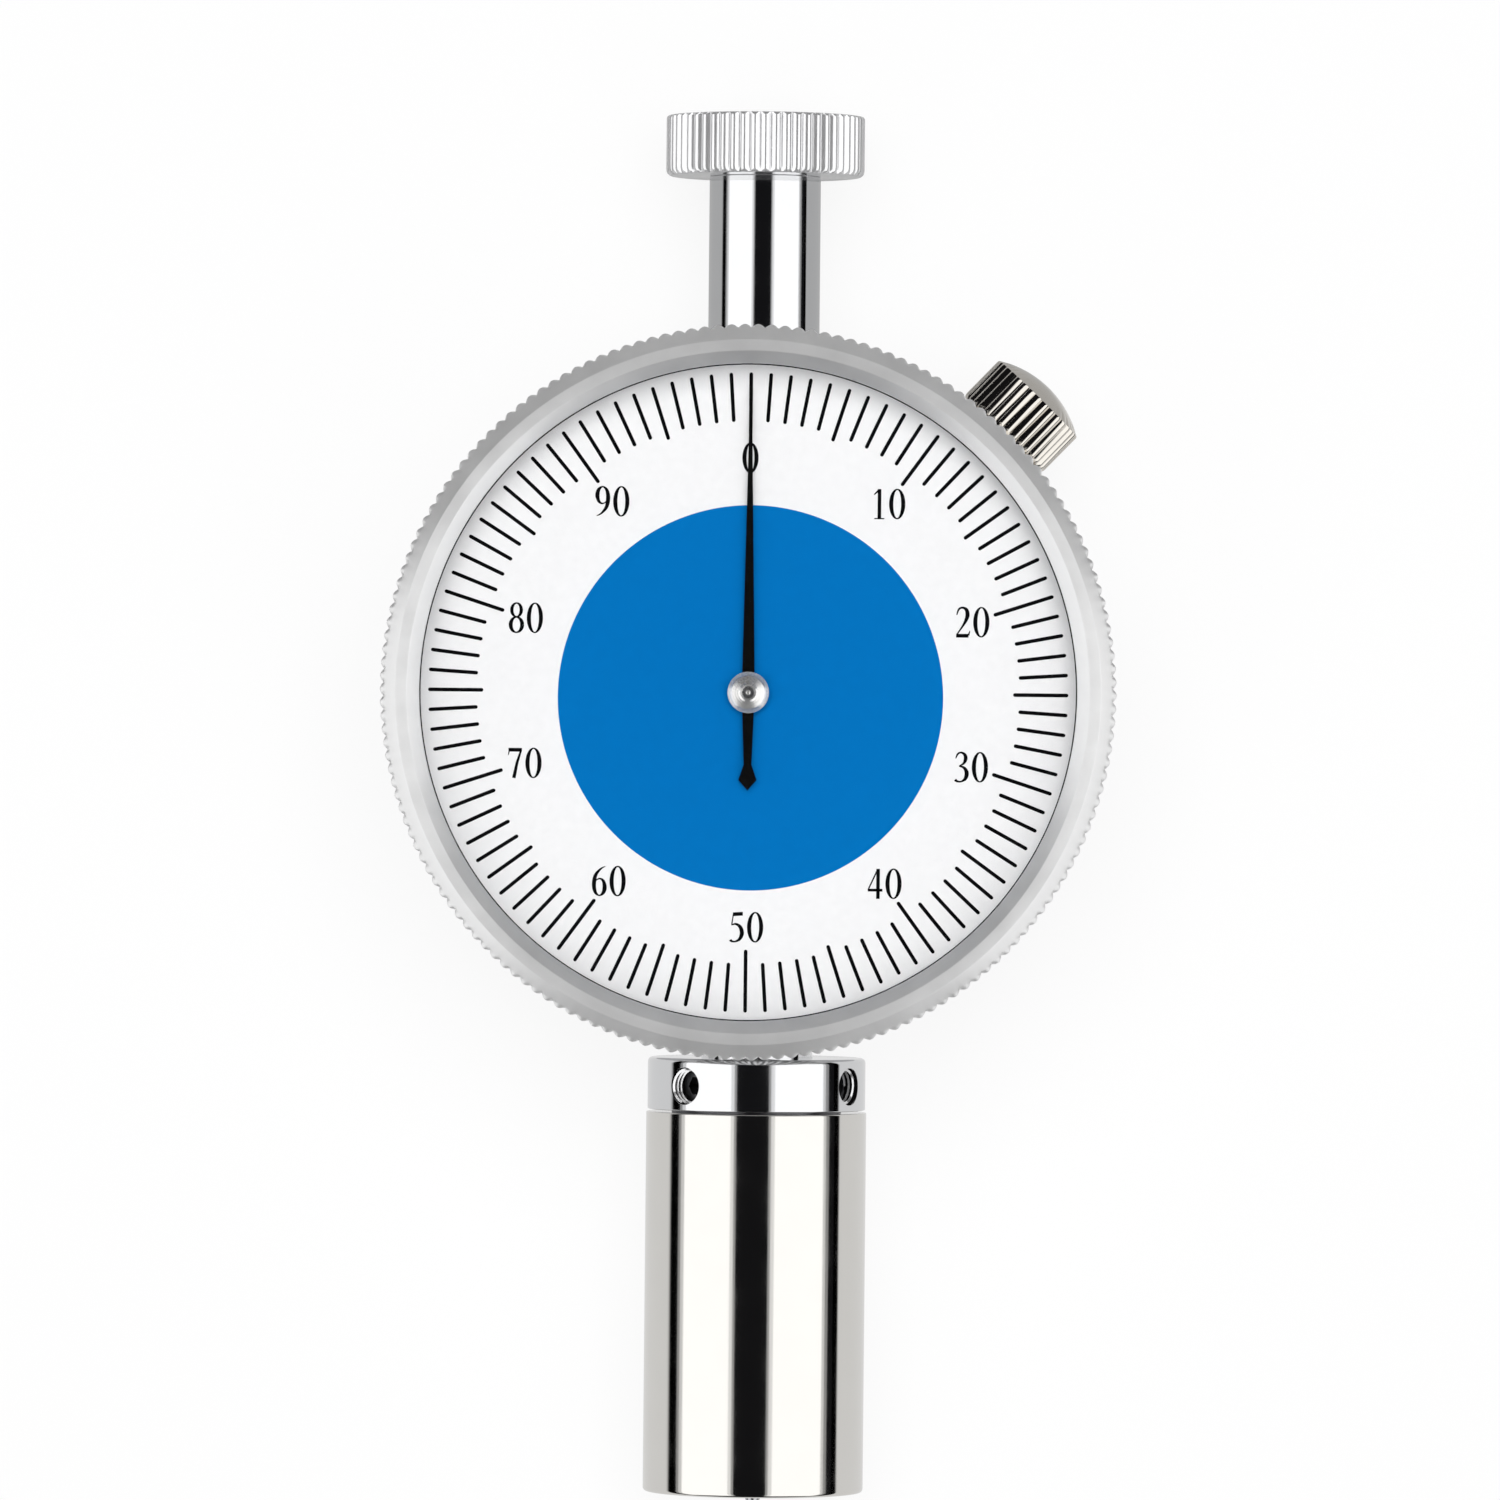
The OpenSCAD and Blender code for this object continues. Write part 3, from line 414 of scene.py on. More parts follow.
# Material helpers
def new_material(name, colour, metallic, roughness):
    material = bpy.data.materials.new(name)
    material.use_nodes = True
    shader = material.node_tree.nodes["Principled BSDF"]
    shader.inputs["Base Color"].default_value = (*colour, 1)
    shader.inputs["Metallic"].default_value = metallic
    shader.inputs["Roughness"].default_value = roughness
    return material, shader


def object_coordinates(material, scale):
    """Object coordinates stretched by a scale for each axis."""
    nodes, links = material.node_tree.nodes, material.node_tree.links
    where = nodes.new("ShaderNodeTexCoord")
    mapping = nodes.new("ShaderNodeMapping")
    mapping.inputs["Scale"].default_value = scale
    links.new(where.outputs["Object"], mapping.inputs["Vector"])
    return mapping.outputs["Vector"]


def turned_coordinates(material, scale):
    """A vector that changes with the distance from the dial's axis, for rings left by turning."""
    nodes, links = material.node_tree.nodes, material.node_tree.links
    where = nodes.new("ShaderNodeTexCoord")
    flat = nodes.new("ShaderNodeVectorMath")
    flat.operation = "MULTIPLY"
    flat.inputs[1].default_value = (1, 1, 0)
    length = nodes.new("ShaderNodeVectorMath")
    length.operation = "LENGTH"
    split = nodes.new("ShaderNodeSeparateXYZ")
    join = nodes.new("ShaderNodeCombineXYZ")
    stretch = nodes.new("ShaderNodeVectorMath")
    stretch.operation = "MULTIPLY"
    stretch.inputs[1].default_value = scale
    links.new(where.outputs["Object"], flat.inputs[0])
    links.new(flat.outputs["Vector"], length.inputs[0])
    links.new(where.outputs["Object"], split.inputs["Vector"])
    links.new(length.outputs["Value"], join.inputs["X"])
    links.new(split.outputs["Z"], join.inputs["Y"])
    links.new(join.outputs["Vector"], stretch.inputs[0])
    return stretch.outputs["Vector"]


def noise(material, vector, scale, detail):
    texture = material.node_tree.nodes.new("ShaderNodeTexNoise")
    texture.inputs["Scale"].default_value = scale
    texture.inputs["Detail"].default_value = detail
    material.node_tree.links.new(vector, texture.inputs["Vector"])
    return texture.outputs["Fac"]


def two_tones(material, factor, dark, light):
    """A colour that runs between two tones with a noise value."""
    ramp = material.node_tree.nodes.new("ShaderNodeValToRGB")
    for element, position, colour in zip(ramp.color_ramp.elements, NOISE_ENDS, (dark, light)):
        element.position = position
        element.color = (*colour, 1)
    material.node_tree.links.new(factor, ramp.inputs["Fac"])
    return ramp.outputs["Color"]


def bump(material, shader, height, strength, distance):
    node = material.node_tree.nodes.new("ShaderNodeBump")
    node.inputs["Strength"].default_value = strength
    node.inputs["Distance"].default_value = distance
    material.node_tree.links.new(height, node.inputs["Height"])
    material.node_tree.links.new(node.outputs["Normal"], shader.inputs["Normal"])


def mottle(material, shader, cloud, colour, darkest, rough, swing):
    """Lets the tone and the roughness of a surface vary with a noise value."""
    tree = material.node_tree
    dark = tuple(c * darkest for c in colour)
    tree.links.new(two_tones(material, cloud, dark, colour), shader.inputs["Base Color"])
    uneven = map_range(tree, cloud, NOISE_ENDS, (rough - swing, rough + swing))
    tree.links.new(uneven, shader.inputs["Roughness"])


def fan_out(material, shader, amount):
    """Spreads reflections away from the dial's axis, as rings left by turning do."""
    around = material.node_tree.nodes.new("ShaderNodeTangent")
    around.direction_type = "RADIAL"
    around.axis = "Z"
    material.node_tree.links.new(around.outputs["Tangent"], shader.inputs["Tangent"])
    shader.inputs["Anisotropic"].default_value = amount
    shader.inputs["Anisotropic Rotation"].default_value = QUARTER_TURN


def metal(
    name, colour, rough, swing, lines=None, relief=0.05,
    turned=False, share=1, darkest=0.93, fan=0, grain=(900, 900, 900),
):
    """A metal that varies with a fine grain, has optional tool lines and is part matt."""
    material, shader = new_material(name, colour, share, rough)
    if fan:
        fan_out(material, shader, fan)
    cloud = noise(material, object_coordinates(material, grain), CLOUD_SCALE, CLOUD_DETAIL)
    mottle(material, shader, cloud, colour, darkest, rough, swing)
    if lines:
        where = (turned_coordinates if turned else object_coordinates)(material, lines)
        bump(material, shader, noise(material, where, 1, LINE_DETAIL), relief, TOOL_RELIEF)
    return material


def paint(name, colour, rough, specular=0.1, grain=1500, relief=0.04):
    """A paint or print with a slight mottle and a fine surface."""
    material, shader = new_material(name, colour, 0, rough)
    shader.inputs["Specular IOR Level"].default_value = specular
    cloud = noise(material, object_coordinates(material, (1, 1, 1)), grain, PAINT_DETAIL)
    mottle(material, shader, cloud, colour, PAINT_DARKEST, rough, PAINT_SWING)
    bump(material, shader, cloud, relief, PAINT_RELIEF)
    return material


def clear_crystal(name):
    """Clear acrylic that lets the lamps through to the dial."""
    material, shader = new_material(name, WHITE[:3], 0, CRYSTAL_ROUGH)
    shader.inputs["Transmission Weight"].default_value = 1
    shader.inputs["IOR"].default_value = CRYSTAL_IOR
    tree = material.node_tree
    path = tree.nodes.new("ShaderNodeLightPath")
    through = tree.nodes.new("ShaderNodeBsdfTransparent")
    both = mix_shaders(
        tree, path.outputs["Is Shadow Ray"], shader.outputs["BSDF"], through.outputs["BSDF"],
    )
    tree.links.new(both, tree.nodes["Material Output"].inputs["Surface"])
    return material


SATIN = metal(
    "satin_aluminium", (0.93, 0.93, 0.93), 0.4, 0.04, (9000, 1500, 1), 0.18,
    turned=True, share=SATIN_SHARE, fan=SATIN_FAN,
)
CASE_METAL = metal("case_aluminium", (0.62, 0.62, 0.63), 0.38, 0.05, (400, 400, 6000), 0.12)
CHROME = metal(
    "chrome_plate", (0.75, 0.755, 0.765), 0.07, 0.02, (300, 1500, 300), 0.01, darkest=0.98,
)
NICKEL = metal(
    "nickel_plate", (0.76, 0.745, 0.715), 0.075, 0.02, (300, 1500, 300), 0.012, darkest=0.98,
)
BRIGHT = metal(
    "bright_aluminium", (0.9, 0.9, 0.91), 0.14, 0.04, (600, 600, 600), 0.03, share=0.72,
)
WARM = metal("warm_nickel", (0.74, 0.705, 0.65), 0.08, 0.03, (600, 600, 600), 0.03)
HUB_METAL = metal(
    "hub_nickel", (0.88, 0.87, 0.85), 0.24, 0.08, (14000, 3000, 1), 0.4, turned=True, share=0.88,
)
STEEL = metal("turned_steel", (0.50, 0.50, 0.515), 0.25, 0.06, (1500, 1500, 1500), 0.06)
# Dark steel for the set screws, also used on the collar's spigot as painted shade in the gap under
# the collar.
DARK_STEEL_AND_GAP_SHADE = metal("dark_steel_and_gap_shade", (0.16, 0.16, 0.17), 0.35, 0.06, (1500, 1500, 1500), 0.06)
SPRING = metal("spring_steel", (0.30, 0.32, 0.36), 0.22, 0.05)
BRASS = metal("brass", (0.66, 0.48, 0.20), 0.25, 0.06, (200, 5000, 200), 0.08)
DIAL = paint("dial_enamel", (0.87, 0.87, 0.875), 0.45)
INK = paint("black_ink", (0.003, 0.003, 0.0035), 0.6, 0.03)
BLUE = paint("blue_ink", (0.0006, 0.158, 0.475), 0.55, 0.02)
POINTER = paint("pointer_enamel", (0.003, 0.003, 0.003), 0.5, 0.04)
CRYSTAL = clear_crystal("clear_acrylic")

NODE_MATERIALS = {
    CASE_METAL: ["case", "back_cover"],
    CHROME: ["lower_stem"],
    WARM: ["clamp_shoe"],
    STEEL: [
        "cover_screws", "plate_screws", "bridge_screws", "rear_bridge_screws",
        "take_up_arbor", "hairspring_stud", "spindle", "guide_pin", "indenter",
        "spring_seat", "bezel_wire", "dial_ring", "spacer_ring", "centre_pinion",
    ],
    DARK_STEEL_AND_GAP_SHADE: ["collar_screws"],
    SPRING: ["hairspring"],
    BRASS: [
        "main_plate", "front_bridge", "bridge_pillars", "rear_bridge", "rear_pillars",
        "rack_pinion", "drive_gear", "take_up_gear", "spring_adjuster", "upper_bush", "lower_bush",
    ],
    DIAL: ["dial_plate"],
    POINTER: ["pointer"],
    CRYSTAL: ["crystal"],
}


def dress_nodes():
    """Gives each CAD node that stays in view its material."""
    for material, names in NODE_MATERIALS.items():
        for name in names:
            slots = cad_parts[name].data.materials
            for i in range(len(slots)):
                slots[i] = material


# Turned pieces that replace CAD nodes
def make_bezel():
    """The scalloped ring, and a black ring at the crystal's lip that paints the shadow line where
    the crystal meets it.
    """
    slope_z = BEZEL_FRONT - BEZEL_SLOPE_H
    flange_z = BEZEL_REAR + BEZEL_FLANGE_T
    profile = rounded([
        (BEZEL_BORE_R, BEZEL_REAR, 0),
        (BEZEL_FLANGE_R, BEZEL_REAR, BEZEL_EDGE),
        (BEZEL_FLANGE_R, flange_z, BEZEL_CREASE),
        (BEZEL_R - BEZEL_CHAMFER[0], flange_z, BEZEL_EDGE),
        (BEZEL_R, flange_z + BEZEL_CHAMFER[1], BEZEL_EDGE),
        (BEZEL_R, slope_z - BEZEL_EDGE, BEZEL_EDGE),
        (BEZEL_R - SHOULDER_LOW[0], slope_z + SHOULDER_LOW[1], BEZEL_RING_EDGE),
        (BEZEL_R - SHOULDER_HIGH[0], slope_z + SHOULDER_HIGH[1], 0),
        (BEZEL_RING_OUT, BEZEL_FRONT, BEZEL_RING_EDGE),
        (BEZEL_RING_IN, BEZEL_FRONT, BEZEL_RING_EDGE),
        (BEZEL_LIP_R, slope_z, BEZEL_EDGE),
        (BEZEL_LIP_R, CRYSTAL_TOP, 0),
        (BEZEL_BORE_R, CRYSTAL_TOP, 0),
    ], FEW_ARC_STEPS)
    start, end = flange_z + SCALLOP_MARGIN, slope_z + SCALLOP_MARGIN
    wave = bumps(SCALLOPS, SCALLOP_DEPTH, start, end, SCALLOP_FADE)

    def ridge(a, r, h):
        return wave(a, r, h) if r > BEZEL_FLANGE_R else 0

    steps = SCALLOPS * SCALLOP_STEPS
    piece = lathe("bezel_ring", profile, ON_DIAL, SATIN, "bezel", steps, ridge, True)
    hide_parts("bezel")
    # Painted shade: a thin black ring on the crystal just inside the lip stands for the shadow
    # line where the crystal meets the bezel.
    shade_line = band(
        BEZEL_LIP_R - SHADE_LINE_W, BEZEL_LIP_R - SHADE_LINE_CLEAR,
        CRYSTAL_TOP + SHADE_LINE_CLEAR, CRYSTAL_TOP + SHADE_LINE_H,
    )
    lathe("painted_shade_line", shade_line, ON_DIAL, INK, "bezel", LARGE_STEPS, None, True)


def make_top_knob():
    low = corner("upper_stem", HIGH, Y)
    high = corner("top_knob", HIGH, Y)
    stud_low = corner("top_knob", LOW, Y)
    profile = rounded([
        (0, stud_low, 0), (KNOB_STUD_R, stud_low, 0), (KNOB_STUD_R, low, 0),
        (KNOB_R, low, KNOB_EDGE), (KNOB_R, high, KNOB_TOP_EDGE), (0, high, 0),
    ])
    wave = bumps(KNOB_FLUTES, KNOB_FLUTE_DEPTH, low, high, KNOB_FADE)

    def ridge(a, r, h):
        return wave(a, r, h) * min(1, max(0, (r - KNOB_R + KNOB_EDGE) / KNOB_EDGE))

    steps = KNOB_FLUTES * KNOB_FLUTE_STEPS
    piece = lathe("knurled_top_knob", profile, ON_STEM, BRIGHT, "case", steps, ridge)
    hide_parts("top_knob")


def make_clamp_screw():
    """The screw and its fluted knob, whose dome starts a little inside the rim."""
    knob_end = CLAMP_KNOB_IN + CLAMP_KNOB_L
    dome_r = (CLAMP_KNOB_R ** 2 + CLAMP_DOME_H ** 2) / (2 * CLAMP_DOME_H)
    full = math.asin(CLAMP_KNOB_R / dome_r)
    dome = []
    for k in range(2, CLAMP_DOME_STEPS + 1):
        a = full * (1 - k / CLAMP_DOME_STEPS)
        h = knob_end + CLAMP_DOME_H - dome_r + dome_r * math.cos(a)
        dome.append((dome_r * math.sin(a), h))
    profile = rounded([
        (0, CLAMP_SCREW_IN, 0),
        (CLAMP_SCREW_R, CLAMP_SCREW_IN, CLAMP_TIP_EDGE),
        (CLAMP_SCREW_R, CLAMP_FACE, 0),
        (CLAMP_SHOULDER_R, CLAMP_FACE, CLAMP_SHOULDER_EDGE),
        (CLAMP_SHOULDER_R, CLAMP_KNOB_IN, 0),
        (CLAMP_KNOB_R, CLAMP_KNOB_IN, CLAMP_EDGE),
        (CLAMP_KNOB_R, knob_end - CLAMP_RIM_DROP, 0),
    ])
    profile += [(CLAMP_KNOB_R - CLAMP_RIM[0], knob_end + CLAMP_RIM[1])] + dome
    end = knob_end + CLAMP_FLUTE_OVER
    wave = bumps(CLAMP_FLUTES, CLAMP_FLUTE_DEPTH, CLAMP_KNOB_IN, end, CLAMP_FLUTE_FADE)

    def ridge(a, r, h):
        return wave(a, r, h) if r > CLAMP_KNOB_R - CLAMP_EDGE - CLAMP_GUARD else 0

    steps = CLAMP_FLUTES * CLAMP_FLUTE_STEPS
    piece = lathe("clamp_knob", profile, ON_CLAMP, WARM, "clamp_screw", steps, ridge)
    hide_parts("clamp_screw")


def make_upper_stem():
    low, high = corner("upper_stem", LOW, Y), corner("upper_stem", HIGH, Y)
    profile = rounded([
        (STEM_BORE_R, low, 0), (STEM_R, low, STEM_EDGE),
        (STEM_R, high, STEM_EDGE), (KNOB_STUD_R + STUD_CLEAR, high, 0),
    ])
    piece = lathe(
        "polished_stem", profile, ON_STEM, CHROME, "case", LARGE_STEPS, None, True,
    )
    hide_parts("upper_stem")


def make_foot_sleeve():
    low, high = corner("foot_sleeve", LOW, Y), corner("foot_sleeve", HIGH, Y)
    profile = rounded([
        (FOOT_HOLE_R, low, 0), (FOOT_R, low, FOOT_EDGE),
        (FOOT_R, high, FOOT_TOP_EDGE), (FOOT_BORE_R, high, FOOT_BORE_EDGE),
        (FOOT_BORE_R, low + FOOT_T, 0), (FOOT_HOLE_R, low + FOOT_T, 0),
    ], FOOT_ARC_STEPS)
    piece = lathe("foot_tube", profile, ON_STEM, NICKEL, "case", LARGE_STEPS, None, True)
    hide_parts("foot_sleeve")


def make_pointer_hub():
    """The hub, and the turned tip of the centre arbor inside it."""
    low, high = corner("pointer_hub", LOW, Z), corner("pointer_hub", HIGH, Z)
    flange = corner("pointer", HIGH, Z)
    profile = rounded([
        (HUB_BORE_R, low, 0), (HUB_WAIST_R, low, 0), (HUB_WAIST_R, flange, 0),
        (HUB_R, flange, HUB_EDGE), (HUB_R, flange + HUB_RIM_H, HUB_RIM_EDGE),
        *((r, high + up, edge) for r, up, edge in HUB_FACE),
        (HUB_BORE_R, high - HUB_SINK, 0),
    ], FEW_ARC_STEPS)
    piece = lathe(
        "turned_hub", profile, ON_DIAL, HUB_METAL, "pointer", MIDDLE_STEPS, None, True,
    )
    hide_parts("pointer_hub")
    tip_low = corner("centre_pinion", HIGH, Z) + HUB_TIP_CLEAR
    tip = [
        (0, tip_low), (HUB_TIP_R, tip_low),
        (HUB_TIP_R, high - HUB_TIP_R / 2), (0, high - HUB_TIP_CLEAR),
    ]
    lathe("arbor_tip", tip, ON_DIAL, HUB_METAL, "pointer", SMALL_STEPS)


# Collar with its two tapped holes
def hole_place(angle):
    """Local Z points out of the collar along one set screw."""
    y = corner("collar", HIGH, Y) - COLLAR_H + SET_SCREW_UP
    return Matrix.Translation((STEM_X, y, STEM_Z)) @ Matrix.Rotation(math.radians(angle), 4, "Y")


def make_collar():
    low, high = corner("collar", LOW, Y), corner("collar", HIGH, Y)
    head = high - COLLAR_H
    spigot_r = FOOT_BORE_R - COLLAR_CLEAR
    bore_r = STEM_R + COLLAR_CLEAR
    spigot = rounded([
        (bore_r, low, 0), (spigot_r, low, SPIGOT_EDGE), (spigot_r, head, 0), (bore_r, head, 0),
    ])
    # Painted shade: the spigot is dark so the gap between the collar and the foot reads as a black
    # shadow line.
    lathe("collar_spigot", spigot, ON_STEM, DARK_STEEL_AND_GAP_SHADE, "case", MIDDLE_STEPS, None, True)
    profile = rounded([
        (bore_r, head, 0), (COLLAR_R, head, COLLAR_FOOT_EDGE),
        (COLLAR_R, high, COLLAR_EDGE), (bore_r, high, 0),
    ])
    piece = lathe(
        "tapped_collar", profile, ON_STEM, CHROME, "case", LARGE_STEPS, None, True,
    )
    hole = [
        (0, STEM_R - CUTTER_IN), (SET_SCREW_R, STEM_R - CUTTER_IN),
        (SET_SCREW_R, COLLAR_R - HOLE_MOUTH_FROM), (HOLE_MOUTH_R, COLLAR_R - HOLE_MOUTH_TO),
        (HOLE_MOUTH_R + CUTTER_OUT, COLLAR_R + CUTTER_OUT), (0, COLLAR_R + CUTTER_OUT),
    ]
    for i, angle in enumerate(SET_SCREW_ANGLES):
        cutter = lathe(
            f"hole_cutter_{i}", hole, hole_place(angle), CHROME, "case", SMALL_STEPS,
        )
        cut = piece.modifiers.new("hole", "BOOLEAN")
        cut.operation = "DIFFERENCE"
        cut.solver = "EXACT"
        cut.object = cutter
        bpy.context.view_layer.update()
        graph = bpy.context.evaluated_depsgraph_get()
        mesh = bpy.data.meshes.new_from_object(piece.evaluated_get(graph))
        piece.modifiers.clear()
        piece.data = mesh
        bpy.data.objects.remove(cutter)
    round_normals(piece)
    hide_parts("collar")
    for i, angle in enumerate(SET_SCREW_ANGLES):
        make_thread(f"set_screw_thread_{i}", hole_place(angle))


def round_normals(piece):
    """Gives the collar's outer wall the true normals of a cylinder, also beside its holes."""
    mesh = piece.data
    mesh.shade_smooth()
    mesh.set_sharp_from_angle(angle=math.radians(SHARP))
    axis = Vector((STEM_X, 0, STEM_Z)) * MM
    normals = [Vector(n.vector) for n in mesh.corner_normals]
    for face in mesh.polygons:
        centre = face.center - axis
        radial = Vector((centre.x, 0, centre.z))
        if face.normal.dot(radial.normalized()) < WALL_FACING:
            continue
        for loop in face.loop_indices:
            at = mesh.vertices[mesh.loops[loop].vertex_index].co - axis
            out = Vector((at.x, 0, at.z))
            if abs(out.length / MM - COLLAR_R) < WALL_SLACK:
                normals[loop] = out.normalized()
    mesh.normals_split_custom_set(normals)


def make_thread(name, place):
    """A helical ridge in a tapped hole, from the set screw to the mouth, and a black lining of the
    bore behind it that paints the shade in the hole.
    """
    start = SET_SCREW_OUT + THREAD_HALF + SHADE_LINING_CLEAR
    mouth = math.sqrt(COLLAR_R ** 2 - SET_SCREW_R ** 2) - SHADE_LINING_T
    end = mouth - THREAD_HALF
    count = int(THREAD_STEPS * (end - start) / THREAD_PITCH)
    crest_r = SET_SCREW_R - THREAD_DEPTH
    section = ((SET_SCREW_R, -THREAD_HALF), (crest_r, 0), (SET_SCREW_R, THREAD_HALF))
    verts, faces = [], []
    for k in range(count + 1):
        a = 2 * math.pi * k / THREAD_STEPS
        h = start + THREAD_PITCH * k / THREAD_STEPS
        for r, dh in section:
            verts.append(place @ Vector((r * math.cos(a), r * math.sin(a), h + dh)))
    for k in range(count):
        for j in range(3):
            n = (j + 1) % 3
            faces.append([3 * k + j, 3 * k + n, 3 * k + 3 + n, 3 * k + 3 + j])
    faces.append([0, 2, 1])
    faces.append([3 * count, 3 * count + 1, 3 * count + 2])
    build_mesh(name, verts, faces, BRIGHT, "case", THREAD_SHARP)
    # Painted shade: a thin black lining of the bore behind the thread makes the hole dark.
    painted_shade_lining = band(SET_SCREW_R - SHADE_LINING_T, SET_SCREW_R - SHADE_LINING_CLEAR, start, mouth)
    lathe(f"{name}_root", painted_shade_lining, place, INK, "case", SMALL_STEPS, None, True)


def make_main_spring():
    """A round wire coil with closed end turns, built at the length of the CAD spring."""
    low, high = corner("main_spring", LOW, Y), corner("main_spring", HIGH, Y)
    sides = SPRING_SIDES
    length = high - low - 2 * SPRING_WIRE_R
    pitch = (length - 2 * SPRING_CLOSED) / (SPRING_TURNS - 2)
    count = SPRING_STEPS * SPRING_TURNS
    verts, faces = [], []
    for i in range(count + 1):
        t = i / SPRING_STEPS
        rise = SPRING_CLOSED + pitch * (t - 1)
        if t < 1:
            rise = SPRING_CLOSED * t
        elif t > SPRING_TURNS - 1:
            rise = length - SPRING_CLOSED * (SPRING_TURNS - t)
        a = 2 * math.pi * t
        for k in range(sides):
            b = 2 * math.pi * k / sides
            s = SPRING_MEAN_R + SPRING_WIRE_R * math.cos(b)
            h = low + SPRING_WIRE_R + rise + SPRING_WIRE_R * math.sin(b)
            verts.append(ON_STEM @ Vector((s * math.cos(a), s * math.sin(a), h)))
    for i in range(count):
        here, ahead = i * sides, (i + 1) * sides
        for k in range(sides):
            n = (k + 1) % sides
            faces.append([here + k, here + n, ahead + n, ahead + k])
    faces.append(list(range(sides))[::-1])
    faces.append([count * sides + k for k in range(sides)])
    piece = build_mesh("main_coil", verts, faces, SPRING, "case")
    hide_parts("main_spring")
    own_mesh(piece)


# Dial print
def make_blue_disc():
    """The blue disc, printed a little off the axis round a hole that is on it."""
    z = DIAL_TOP + BLUE_LIFT
    rings = ((DIAL_HOLE_R + BLUE_HOLE_GAP, (0, 0)), (BLUE_R, BLUE_AT))
    verts, faces = [], []
    for k in range(BLUE_STEPS):
        a = 2 * math.pi * k / BLUE_STEPS
        for r, at in rings:
            verts.append((at[0] + r * math.cos(a), at[1] + r * math.sin(a), z))
    for k in range(BLUE_STEPS):
        n = (k + 1) % BLUE_STEPS
        faces.append([2 * k, 2 * k + 1, 2 * n + 1, 2 * n])
    build_mesh("dial_blue_disc", verts, faces, BLUE, "bezel", smooth=False)


def tick_inner(k):
    if k % 10 == 0:
        return TICK_IN_TEN
    return TICK_IN_FIVE if k % 5 == 0 else TICK_IN_UNIT


def make_ticks():
    """The divisions, each a thin bar with round ends."""
    verts, faces = [], []
    half = TICK_W / 2
    for k in range(TICKS):
        a = math.radians(90 - 360 * k / TICKS)
        along = Vector((math.cos(a), math.sin(a)))
        across = Vector((-along.y, along.x))
        ends = ((TICK_OUT - half, 1), (tick_inner(k) + half, -1))
        face = []
        for r, way in ends:
            for j in range(TICK_CAP_STEPS + 1):
                t = math.pi * (0.5 - j / TICK_CAP_STEPS)
                p = along * (r + way * half * math.cos(t)) + across * (way * half * math.sin(t))
                face.append(len(verts))
                verts.append((p.x, p.y, DIAL_TOP + PRINT_LIFT))
        faces.append(face[::-1])
    build_mesh("dial_ticks", verts, faces, INK, "bezel", smooth=False)


def loop_stroke(cx, cy, rx, ry, thin, thick, steps=36):
    """An oval stroke, thick at its sides and thin at its top and bottom."""
    points = []
    for k in range(steps + 1):
        t = 2 * math.pi * k / steps
        width = thin + (thick - thin) * abs(math.cos(t)) ** STROKE_SWELL
        points.append((cx + rx * math.cos(t), cy + ry * math.sin(t), width))
    return points


def between(a, b, c, d, t):
    """A value on the smooth curve from b to c, with a before them and d after them."""
    square = 2 * a - 5 * b + 4 * c - d
    cube = 3 * b - a - 3 * c + d
    return 0.5 * (2 * b + (c - a) * t + square * t ** 2 + cube * t ** 3)


def curve_stroke(points, steps=8):
    """A smooth stroke through (x, y, width) points."""
    result = []
    for i in range(len(points) - 1):
        before, after = points[max(i - 1, 0)], points[min(i + 2, len(points) - 1)]
        values = list(zip(before, points[i], points[i + 1], after))
        for k in range(steps):
            result.append(tuple(between(*four, k / steps) for four in values))
    result.append(points[-1])
    return result


def half_turn(stroke):
    return [(GLYPH_W - x, 1 - y, w) for x, y, w in stroke]


